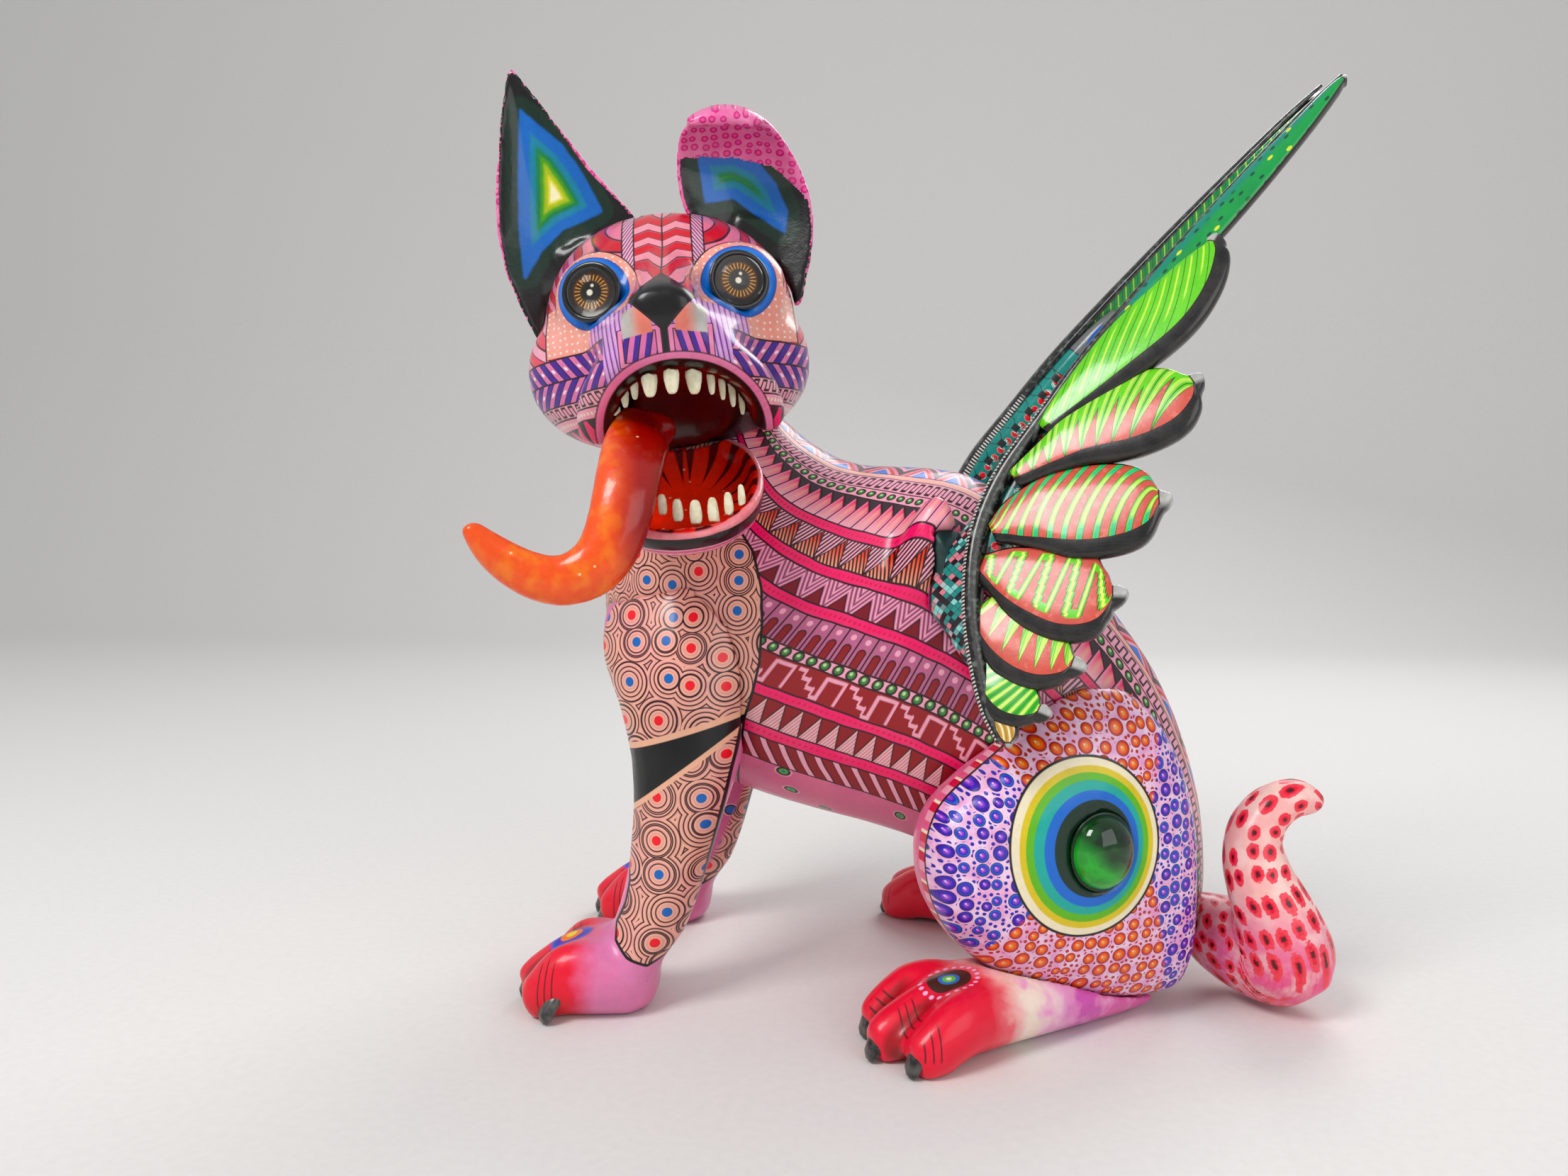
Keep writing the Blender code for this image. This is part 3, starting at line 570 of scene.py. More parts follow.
def zigzag_band(u, f, tall):
    tri = u.wave(17)
    t = f * 0.85 + tri * 0.62
    return levels(t, RED, (0.14, PALE), (0.2, INK), (0.24, BLUE), (0.46, INK), (0.49, PALE),
        (0.66, INK), (0.69, "47252c"), (0.86, PINK), (0.98, RED), (1.1, PALE), (1.2, BLUE),
        soft=0.02)


def comb_band(u, f, tall):
    x = (u + f * 1.2).saw(3.7)
    step = x.between(0.25, 0.75, 0.04)
    flat = abs(f - (step * -0.62 + 0.81)).below(0.085, 0.06)
    legs = abs(abs(x - 0.5) - 0.25).below(0.075, 0.06) * f.between(0.12, 0.88, 0.08)
    return layers(PALE, (INK, flat.high(legs)))


def petal_band(u, f, tall):
    x = (u + f * 2).saw(5)
    top = x * 0.42 + 0.06
    petal = (f - top).above(0, 0.05)
    streak = x.near(0.55, 0.28, 0.3) * f.between(0.3, 0.9, 0.3)
    colour = layers(HOT, (PALE, f.above(0.6, 0.7)), (PEACH, streak * 0.7),
        (PALE, x.below(0.2, 0.2) * 0.5))
    colour = over(colour, INK, abs(x.saw(1, 0.5) - 0.5).below(0.05, 0.04))
    return layers("3a2a30", (INK, (f - top).above(-0.08, 0.03)), (colour, petal))


def hatch_band(u, f, tall):
    tri = u.wave(9.5)
    up = (f - tri).above(0, 0.06)
    first = (u + f * 2.4).saw(1.35).near(0.5, 0.5, 0.2)
    second = (u - f * 7).saw(1.35).near(0.5, 0.5, 0.2)
    ember = over(BRIGHT, PEACH, f.above(0.7, 0.9))
    a = over(INK, PALE, first)
    b = over(INK, ember, second)
    return layers(over(a, b, up), (INK, abs(f - tri).below(0.05, 0.04)))


def chevron_band(u, f, tall):
    tri = u.wave(8.6)
    t = f + tri
    lines = t.saw(0.34)
    colour = layers(MAUVE, (PALE, lines.between(0.25, 0.6, 0.15)), (INK, lines.above(0.86, 0.1)))
    dart = (f - (1 - tri) * 0.9).above(0.42, 0.05)
    return layers(colour, (INK, (f - (1 - tri) * 0.9).above(0.34, 0.05)), (MAROON, dart))


def arch_band(u, f, tall):
    x = u.saw(4.9)
    mid = (x - 0.5) * 4.9
    post = abs(mid).below(0.95, 0.2) * f.above(0.55, 0.06)
    cap = circle(mid, (f - 0.55) * tall, 1)
    rim = (abs(mid).below(1.35, 0.2) * f.above(0.55, 0.06)).high(circle(mid, (f - 0.55) * tall,
        1.4))
    colour = layers(MAUVE, (PALE, circle(mid, (f - 0.2) * tall, 0.85)), (INK, rim),
        ("8e1d22", post.high(cap)))
    return over(colour, INK, abs(x.saw(1, 0.5) - 0.5).below(0.05, 0.04))


def key_band(u, f, tall):
    x = u.saw(16)
    climb = x * 1.7 - 0.1
    tread = abs(f - ((climb * 4).floor() / 4 + 0.15)).below(0.07, 0.04)
    riser = abs((climb * 4).saw(1, 0.5) - 0.5).below(0.13, 0.06) \
        * abs(f - (climb - 0.02)).below(0.17, 0.04)
    stairs = tread.high(riser) * x.between(0.06, 0.6, 0.02) * f.between(0.08, 0.95, 0.05)
    wall = (x.near(0.62, 0.07, 0.03).high(x.near(0.98, 0.07, 0.03))) * f.between(0.1, 0.92, 0.05)
    bar = f.near(0.88, 0.12, 0.05) * x.between(0.55, 0.66, 0.02)
    top = f.near(0.14, 0.12, 0.05) * x.above(0.62, 0.02)
    line = stairs.high(wall).high(bar).high(top)
    return layers("94121a", (PALE, line))


def teeth_band(u, f, tall):
    x = u.saw(5.4)
    tooth = (abs(x - 0.5) - f * 0.47).below(0, 0.05)
    hatch = (u + f * 3).saw(0.9).near(0.5, 0.35, 0.2)
    colour = over("d98aa0", CREAM, hatch * 0.7)
    return layers("8c1119", (INK, (abs(x - 0.5) - f * 0.47).below(0.07, 0.05)), (colour, tooth))


def bars_band(u, f, tall):
    x = (u - f * 7).saw(5.2)
    return layers("8c1119", (INK, x.below(0.48, 0.05)), (PALE, x.between(0.06, 0.38, 0.05)))


def bead_band(u, f, tall):
    return dotted(u, f, tall, 4.2, 1.35, PALE)


def hot_band(u, f, tall):
    x = (u.saw(1.7) - 0.5) * 1.7
    return over(HOT, RED, circle(x, (f - 0.5) * tall, 0.42) * 0.6)


def peach_band(u, f, tall):
    return over(PALE, PEACH, f.near(0.5, 0.5, 0.4))


BANDS = [  # where each band starts, as a share of the way from spine to belly
    (0, zigzag_band), (0.133, peach_band), (0.156, comb_band), (0.206, bead_band),
    (0.238, petal_band), (0.312, hot_band), (0.332, hatch_band), (0.386, hot_band),
    (0.405, chevron_band), (0.452, hot_band), (0.472, arch_band), (0.532, bead_band),
    (0.552, key_band), (0.606, hot_band), (0.626, teeth_band), (0.677, hot_band),
    (0.700, bars_band), (0.752, None),
]


def banded(sheet):
    """The bands that run from neck to rump, and the plain belly with its sparse eyes."""
    u, g, girth = sheet.coords("skin")
    g = g + (sheet.noise(9, 1) - 0.5) * 0.006
    d, _, lot, _ = sheet.cells(sheet.vector(u, g * girth), 15, 0.7)
    ringed = levels(d, "3a63b0", (0.5, "5aa84a"), (1.3, INK), (2, PALE), (2.5, MAUVE), soft=0.3)
    belly = sheet.mottled("c9648c", PINK, 18)
    colour = over(belly, ringed, d.below(2.5, 0.3) * lot.above(0.45, 0.01))
    for k, (start, pattern) in enumerate(BANDS[:-1]):
        stop = BANDS[k + 1][0]
        part = pattern(u, (g - start) / (stop - start), girth * (stop - start))
        colour = over(colour, part, g.between(start, stop, 0.0016)
            if start else g.below(stop, 0.0016))
    edge = None
    for start, _ in BANDS[1:]:
        line = abs((g - start) * girth)
        edge = line if edge is None else edge.low(line)
    return over(colour, INK, edge.below(0.26, 0.2)), edge


CHEST_SIDE = 30     # half width at which the chest turns from flank to front


def write_panel(obj):
    """The panel's outline, and a place on it that is unrolled round the chest."""
    x, y, z = points_of(obj).T
    edge = polygon_distance(np.column_stack([x, z]), PANEL)
    turned = np.maximum(0, CHEST_SIDE - np.abs(y - SHIFT.y))
    write(obj, "panel", np.column_stack([edge, x, z]))
    write(obj, "chest", np.column_stack([x - turned, z, turned]))


def ringed_panel(sheet):
    """Close-packed sets of rings with red or blue hearts."""
    x, z, _ = sheet.coords("chest")
    d, radius, lot, _ = sheet.cells(sheet.vector(x, z), 11.2, 0.62)
    lines = d.saw(1.42, 0.14).near(0.5, 0.3, 0.16)
    base = sheet.mottled("e9ae92", "e79aa2", 20)
    ground = over(base, "f3c9a4", d.saw(1.42, 0.14).below(0.25, 0.2) * 0.5)
    inner = d.below(1.55, 0.25)
    heart = over("f03a44", "2467b4", lot.above(0.55, 0.02))
    halo = d.between(1.5, 2, 0.2)
    colour = layers(ground, (INK, lines * d.above(2.2, 0.2)), (PEACH, halo), (heart, inner))
    return over(colour, INK, abs(d - radius).below(0.2, 0.15))


def panel_over(sheet, colour, side):
    """Lays the ringed panel, its black outline and the slanted black stripe."""
    edge, x, z = sheet.coords("panel")
    panel = ringed_panel(sheet)
    from_edge = x + 65
    slant = z - 85.5 - from_edge * 0.52
    narrow = from_edge.high(-30) * 0.22
    stripe = abs(slant).below(4.6 - narrow, 0.3)
    border = abs(slant).below(6.6 - narrow, 0.3)
    leg_part = z.below(112, 1)
    panel = layers(panel, (PEACH, border * leg_part), (BLACK, stripe * leg_part))
    return layers(colour, (panel, edge.below(0, 0.3) * side),
        (BLACK, abs(edge).below(0.45, 0.25) * side))


def torso_finish():
    sheet = Sheet("painted_torso")
    colour, edge = banded(sheet)
    _, _, z = sheet.place_xyz()
    colour = panel_over(sheet, colour, z.above(60, 1))
    return sheet.done(colour, 0.34, 0.55, height=edge.below(0.3, 0.3) * -0.5)


def build_torso():
    obj = carved("torso", 1.15, 10)
    write(obj, "skin", skin_coords(obj))
    write_panel(obj)
    settle(obj, "torso", torso_finish())


# ---- legs

PAW_OUT = 42          # mm from the middle plane to the middle of a front paw


def side_of(word):
    """-1 on the figure's left flank, 1 on its right."""
    return -1 if word == "left" else 1


def flank_coords(obj, word):
    """x, outward and z in mm in the body's own frame, the same on both flanks."""
    places = points_of(obj) - np.array(SHIFT)
    places[:, 1] *= side_of(word)
    return places


def claw_finish():
    sheet = Sheet("claw_lacquer")
    colour = over("1c1b1b", "77756f", sheet.noise(2.5, 3).above(0.5, 0.35) * 0.55)
    return sheet.done(colour, 0.28, 0.6)


def leg_finish(word):
    sheet = Sheet("painted_front_leg_" + word)
    x, s, z = sheet.coords("flank")
    base = sheet.mottled("e0729a", "d890bd", 16)
    base = over(base, "c05a86", z.below(110, 60) * s.below(33, 10) * 0.6)
    d, _, lot, kind = sheet.cells(sheet.vector(x, z), 15, 0.7)
    dot = levels(d, over("2c5fb0", "4e9a48", kind.above(0.5, 0.02)), (1.6, INK), (2.2, PALE))
    inner = s.below(33, 1) * z.above(28, 2)
    colour = over(base, dot, d.below(2.6, 0.3) * inner * lot.above(0.35, 0.02))
    colour = panel_over(sheet, colour, s.above(30, 1.5))
    off = s - PAW_OUT
    paw = (x + (sheet.noise(5) - 0.5) * 6).below(-112, 9) * z.below(26, 4)
    red = over("ea4a55", "d81f2c", z.below(10, 12))
    toe = abs(abs(off) - 6.8).below(1.9, 1.2)
    scratch = (x + abs(off) * 0.25).saw(2.3).near(0.5, 0.2, 0.12)
    on_toe = abs(off).wave(13.5, 0.5).above(0.45, 0.2) * x.between(-127, -120.5, 0.5)
    d = length(x + 120.5, s - 43) * 0.8 ** 0.5
    motif = levels(d, "f4d13c", (1.6, "ef7c2b"), (3.2, "5b3fb0"), (4.6, "2c5cc0"), (5.4, "8e4fb4"))
    colour = layers(colour, (red, paw), ("a30d1b", toe * x.below(-119, 4)),
        (INK, scratch * on_toe * z.above(6, 1) * 0.85), (motif,
        d.below(6.2, 0.4) * z.above(18, 1)))
    return sheet.done(colour, 0.34, 0.5)


CLAW_LIFT = 0.15      # mm that a claw stays above the floor


def nail(name, node, tip, along, size, material):
    """A short hooked claw let into a toe."""
    along = Vector(along).normalized()
    across = Vector((-along.y, along.x, 0))
    rows = []
    for wide, tall, z, ahead in [(0.45, 0.5, 1, -0.55), (0.9, 0.9, 0.92, -0.2),
            (1, 1, 0.62, 0.15), (0.8, 0.8, 0.25, 0.42), (0.45, 0.4, 0.08, 0.5)]:
        c = Vector(tip) + along * ahead * size + Vector((0, 0, z * size * 1.35))
        lean = along * 0.8 + SKYWARD * 0.6
        rows.append([c + across * math.cos(turn) * wide * size * 0.52
            + lean * math.sin(turn) * tall * size * 0.34 for turn in turns(14)])
    rows = [[Vector((p.x, p.y, max(p.z, CLAW_LIFT))) for p in loop] for loop in rows]
    trim_piece(lathe_like(name, rows), node, material)


def build_front_legs(claws):
    for word in SIDES:
        node = "front_leg_" + word
        obj = carved(node, 1, 9)
        write(obj, "flank", flank_coords(obj, word))
        write_panel(obj)
        settle(obj, node, leg_finish(word))
        side = side_of(word)
        for k, (out, x, way) in enumerate([(-13.5, -129, -0.25), (0, -134, 0), (17, -121.5, 1.1)]):
            tip = Vector((x + SHIFT.x, side * (PAW_OUT + out) + SHIFT.y, 0))
            nail("claw_front_%s_%d" % (word, k + 1), node, tip, (-1, side * way, 0), 7.4, claws)


FOOT_YAW = math.radians(34)
HEEL = (60, 15)       # x and outward, in the design's frame


def foot_axes(side):
    along = Vector((-math.cos(FOOT_YAW), side * math.sin(FOOT_YAW), 0))
    out = Vector((math.sin(FOOT_YAW), side * math.cos(FOOT_YAW), 0))
    return along, out


def foot_finish(word):
    sheet = Sheet("painted_hind_foot_" + word)
    a, s, z = sheet.coords("foot")
    drift = (sheet.noise(9, 3) - 0.5) * 16
    r = a + drift
    colour = levels(r, "d86aa6", (26, "cf5fb0"), (40, "e9b7cf"), (47, "f2dfcf"), (60, "ee7f86"),
        (66, "e83a4a"), soft=9)
    colour = over(colour, "e9a0c8", sheet.noise(7).above(0.6, 0.2) * r.below(60, 8))
    off = abs(s - 1)
    toe = abs(off - 7.4).below(1.8, 1.4)
    scratch = (a - abs(s) * 0.2).saw(2.3).near(0.5, 0.2, 0.12)
    on_toe = off.wave(14.5, 0.5).above(0.45, 0.2) * a.between(86.5, 93.5, 0.5)
    mx = (a - 74) / 1.25
    my = s - 4
    d = length(mx, my)
    motif = levels(d, "e6f4d8", (0.7, "6cc04e"), (1.7, "3a78c0"), (2.7, "3f2418"), (5.6, "e14a60"))
    up = z.above(13, 2)
    angle = sheet.op("ARCTAN2", my, mx)
    bead = length(d - 7.2, (angle.saw(0.3) - 0.5) * 2.2)
    colour = layers(colour, ("a90f1c", toe * a.above(82, 5)),
        (INK, scratch * on_toe * z.above(6, 1) * 0.85), (motif, d.below(5.8, 0.3) * up),
        ("eeb8dc", bead.below(0.62, 0.25) * up))
    return sheet.done(colour, 0.34, 0.5)


def build_hind_feet(claws):
    for word in SIDES:
        side = side_of(word)
        node = "hind_foot_" + word
        obj = carved(node, 1, 9)
        along, out = foot_axes(side)
        heel = Vector((HEEL[0] + SHIFT.x, side * HEEL[1] + SHIFT.y, 0))
        write(obj, "foot", on_axes(obj, heel, along, out, SKYWARD))
        settle(obj, node, foot_finish(word))
        for k, (sideways, reach) in enumerate([(-13, 93), (1, 99), (15, 94)]):
            tip = heel + along * (reach - 2.5) + out * (sideways + 1)
            nail("claw_hind_%s_%d" % (word, k + 1), node, tip, along, 7, claws)


# ---- haunches

HAUNCH_MIDDLE = Vector((34, 35, 60))
HAUNCH_YAW = math.radians(24)
GEM_AT = (3.5, 0)
GEM_TALL = 1.14        # height of the glass over its width
TARGET = [  # ring colour, radius upward in mm, middle relative to the glass: along and up
    (BLACK, 27.3, -4.7, 1.5), (CREAM, 26.5, -4.7, 1.5), (YELLOW, 24.3, -4.3, 1.4),
    ("62b524", 22.3, -4.2, 1.4), (TEAL, 20, -3.9, 1.4), ("1467c9", 17.4, -3.1, 1.1),
    (DARK_GREEN, 14.6, -2.5, 1.1),
]


def haunch_axes(side):
    along = Vector((math.cos(HAUNCH_YAW), -side * math.sin(HAUNCH_YAW), 0))
    out = Vector((math.sin(HAUNCH_YAW), side * math.cos(HAUNCH_YAW), 0))
    return along, out


def haunch_finish(word):
    sheet = Sheet("painted_haunch_" + word)
    a, b, o = sheet.coords("thigh")
    base = sheet.mottled("e995ba", "e6b2e0", 12)
    base = over(base, "fbeefa", sheet.noise(5).above(0.5, 0.3) * 0.55)
    d, radius, lot, _ = sheet.cells(sheet.vector(a, b), 4.9, 0.5)
    share = d / radius
    ta, tb = a - (GEM_AT[0] - 4.7), b - (GEM_AT[1] + 1.5)
    left = (ta * -1 - abs(tb) * 0.95).above(0, 1)
    right = (ta - abs(tb) * 0.28).above(19, 1)
    blue = left.high(right)
    cold = levels(share, "c98be0", (0.16, "8b4cc4"), (0.42, "4a3bb4"),
        (0.62, over("2d63c4", "4431a0", lot.above(0.5, 0.05))), (0.86, "2a1f78"), soft=0.1)
    warm = levels(share, "f6a25a", (0.3, "ee6a2a"), (0.62, "d5391a"), (0.84, "8f1712"), soft=0.14)
    bead = over(warm, cold, blue)
    on = share.below(0.97, 0.07)
    small = sheet.cells(sheet.vector(a + 31, b - 17), 1.9, 0.6)
    seed = over("b8331c", "3a3aa8", blue)
    between = share.above(1.22, 0.04) * small[0].below(0.55, 0.12)
    colour = layers(base, (seed, between), (bead, on))
    shine = sheet.cells(sheet.vector(a + 0.35, b - 0.35), 4.9, 0.5)
    colour = over(colour, "fbe6ee", (shine[0] / shine[1]).below(0.12, 0.1) * 0.8)
    height = (1 - share * share).high(0) * on * 1.6
    for ring, radius_mm, da, db in TARGET:
        x = (a - (GEM_AT[0] + da)) / 0.90
        y = b - (GEM_AT[1] + db)
        spot = circle(x, y, radius_mm)
        colour = over(colour, ring, spot)
        height = height * (1 - spot)
    rim = o.below(3, 0.4)
    strip = levels(sheet.op("ARCTAN2", tb, ta).saw(0.22), "d2344c", (0.3, PALE), (0.62, "e36a8e"),
        (0.9, CREAM), soft=0.03)
    colour = layers(colour, (strip, rim), (BLACK, abs(o - 3.2).below(0.5, 0.3)),
        (sheet.mottled("d4628e", PINK, 9), o.below(-1.5, 0.3)))
    return sheet.done(colour, 0.30, 0.6, height=height, depth=0.3)


def glass_finish():
    """Deep green glass with painted light: painted shade above, and a painted glow below where the
    light gathers.
    """
    sheet = Sheet("green_glass")
    x, y, _ = sheet.coords("disc")
    r = length(x, y)
    low = x * -0.55 - y * 0.83
    painted_glow = (low - 2).above(0, 5.5) * r.above(3, 4.5)
    colour = levels(r, "06330c", (5, "042509"), (8.6, "0a4a12"), soft=2.5)
    # painted glow low in the glass, and painted shade toward its top
    colour = layers(colour, ("18b224", painted_glow * 0.9), ("0b5c16",
        sheet.noise(3).above(0.55, 0.2) * 0.4), ("021406", (low * -1 - 4).above(0, 3) * 0.6))
    sheet.plug(colour, sheet.shader.inputs["Base Color"])
    sheet.plug(sheet.noise(3) * 0.04 + 0.03, sheet.shader.inputs["Roughness"])
    sheet.fixed(Coat_Weight=0.6, Coat_Roughness=0.02, Specular_IOR_Level=0.3)
    return sheet.material


def dome_shape(name, centre, axis, radius, base, height, rings=14):
    """A polished cabochon: a short straight drum with a rounded top."""
    across = axis.orthogonal().normalized()
    third = axis.cross(across)
    profile = [(radius * 0.96, 0), (radius, base * 0.4), (radius, base * 0.8)]
    for k in range(rings):
        angle = math.pi / 2 * k / rings
        profile.append((radius * math.cos(angle) ** 0.9, base + height * math.sin(angle)))
    profile.append((radius * 0.03, base + height))
    return lathe_like(name, [[centre + axis * lift + across * wide * math.cos(t)
        + third * wide * math.sin(t) for t in turns(48)] for wide, lift in profile])


def build_haunches():
    glass = glass_finish()
    seat = Sheet("gem_seat_lacquer")
    seat = seat.done(seat.mottled("081409", "12301a", 2), 0.25, 0.6)
    for word in SIDES:
        side = side_of(word)
        node = "haunch_" + word
        obj = carved(node, 1, 9)
        along, out = haunch_axes(side)
        middle = Vector((HAUNCH_MIDDLE.x, side * HAUNCH_MIDDLE.y, HAUNCH_MIDDLE.z)) + SHIFT
        write(obj, "thigh", on_axes(obj, middle, along, SKYWARD, out))
        settle(obj, node, haunch_finish(word))
        centre = middle + along * GEM_AT[0] + Vector((0, 0, GEM_AT[1])) + out * 17.7
        gem = dome_shape("glass_dome_" + word, centre, out, 9.8, 2.6, 6.8)
        for vertex in gem.data.vertices:
            vertex.co.z = (centre.z + (vertex.co.z / MM - centre.z) * GEM_TALL) * MM
        write(gem, "disc", on_axes(gem, centre, along, SKYWARD, out))
        settle(gem, "haunch_gem_" + word, glass)
        bezel = ring_shape("gem_bezel_" + word, centre + out * 2.9, out, 10, 0.5, GEM_TALL)
        trim_piece(bezel, node, seat)


# ---- tail

TAIL = [  # middle x, y, z and radius
    (82, 1, 24, 10), (92, -3, 19.5, 14), (102, -12, 18, 16), (107, -21, 20, 15.5),
    (103, -22, 33, 13), (98, -19, 45, 10.8), (97, -16, 56, 9.3), (101.5, -15, 65, 8),
    (110.5, -15, 70, 6.3), (118, -15, 66, 3.8),
]


def tail_coords(obj):
    """Along and around the tail in mm, with the seam on its far side."""
    rows = spline(TAIL, 12)
    middle = rows[:, :3]
    ways, lengths = along_path(middle)
    places = points_of(obj) - np.array(SHIFT)
    gap = np.linalg.norm(places[:, None, :] - middle[None], axis=2) - rows[None, :, 3]
    near = gap.argmin(axis=1)
    rel = places - middle[near]
    way = ways[near]
    along = lengths[near] + np.clip((rel * way).sum(1), -1.2, 1.2)
    front = np.array([0.25, -1, 0])
    front = front - way * (way @ front)[:, None]
    front /= np.linalg.norm(front, axis=1)[:, None]
    side = np.cross(way, front)
    angle = np.arctan2((rel * side).sum(1), (rel * front).sum(1))
    return np.column_stack([along, angle * rows[near, 3], angle])


def tail_finish():
    sheet = Sheet("painted_tail")
    x, y, z = sheet.place_xyz()
    t, s, _ = sheet.coords("tail")
    base = over("ea7aa8", "f8b9b4", z.above(30, 22))
    base = layers(base, ("f0688e", z.below(26, 16) * (x * 0.7 - y).above(88, 14) * 0.7),
        ("f9e4d8", sheet.noise(8).above(0.55, 0.2) * 0.5))
    streak = (s + sheet.noise(5) * 3).saw(2.2).near(0.5, 0.2, 0.2)
    base = over(base, "e34a78", streak * z.below(20, 10) * 0.4)
    warp = (sheet.noise(1.6, 2) - 0.5) * 0.9
    d, radius, _, _ = sheet.cells(sheet.vector(t * 0.78, s), 6, 0.4)
    share = (d + warp) / radius
    spot = share.below(0.90, 0.1)
    heart = share.below(0.30, 0.12)
    red = over("e22a40", "f25a66", share.above(0.45, 0.3))
    colour = layers(base, (red, spot), ("560a14", heart))
    return sheet.done(colour, 0.32, 0.5)


def build_tail():
    obj = carved("tail", 0.8, 8)
    write(obj, "tail", tail_coords(obj))
    settle(obj, "tail", tail_finish())


# ---- head

HEAD_YAW = math.radians(10)
HEAD_ROLL = math.radians(5)
FORWARD = Vector((math.sin(HEAD_YAW), -math.cos(HEAD_YAW), 0))
SIDE = Vector((math.cos(HEAD_YAW), math.sin(HEAD_YAW), 0)) * math.cos(HEAD_ROLL) \
    + Vector((0, 0, math.sin(HEAD_ROLL)))
UP = SIDE.cross(FORWARD)
UP = UP if UP.z > 0 else -UP
JAW_PITCH = math.radians(-32)
JAW_AT = (-1, 36, -47.5)       # middle of the jaw's hollow: sideways, forward and up in the head
HEAD_AT = Vector((-90, -16, 216)) + SHIFT


def head_coords(obj):
    """Sideways toward the figure's left, forward out of the face and up, in mm."""
    return on_axes(obj, HEAD_AT, SIDE, FORWARD, UP)


def from_head(x, y, z):
    return HEAD_AT + SIDE * x + FORWARD * y + UP * z


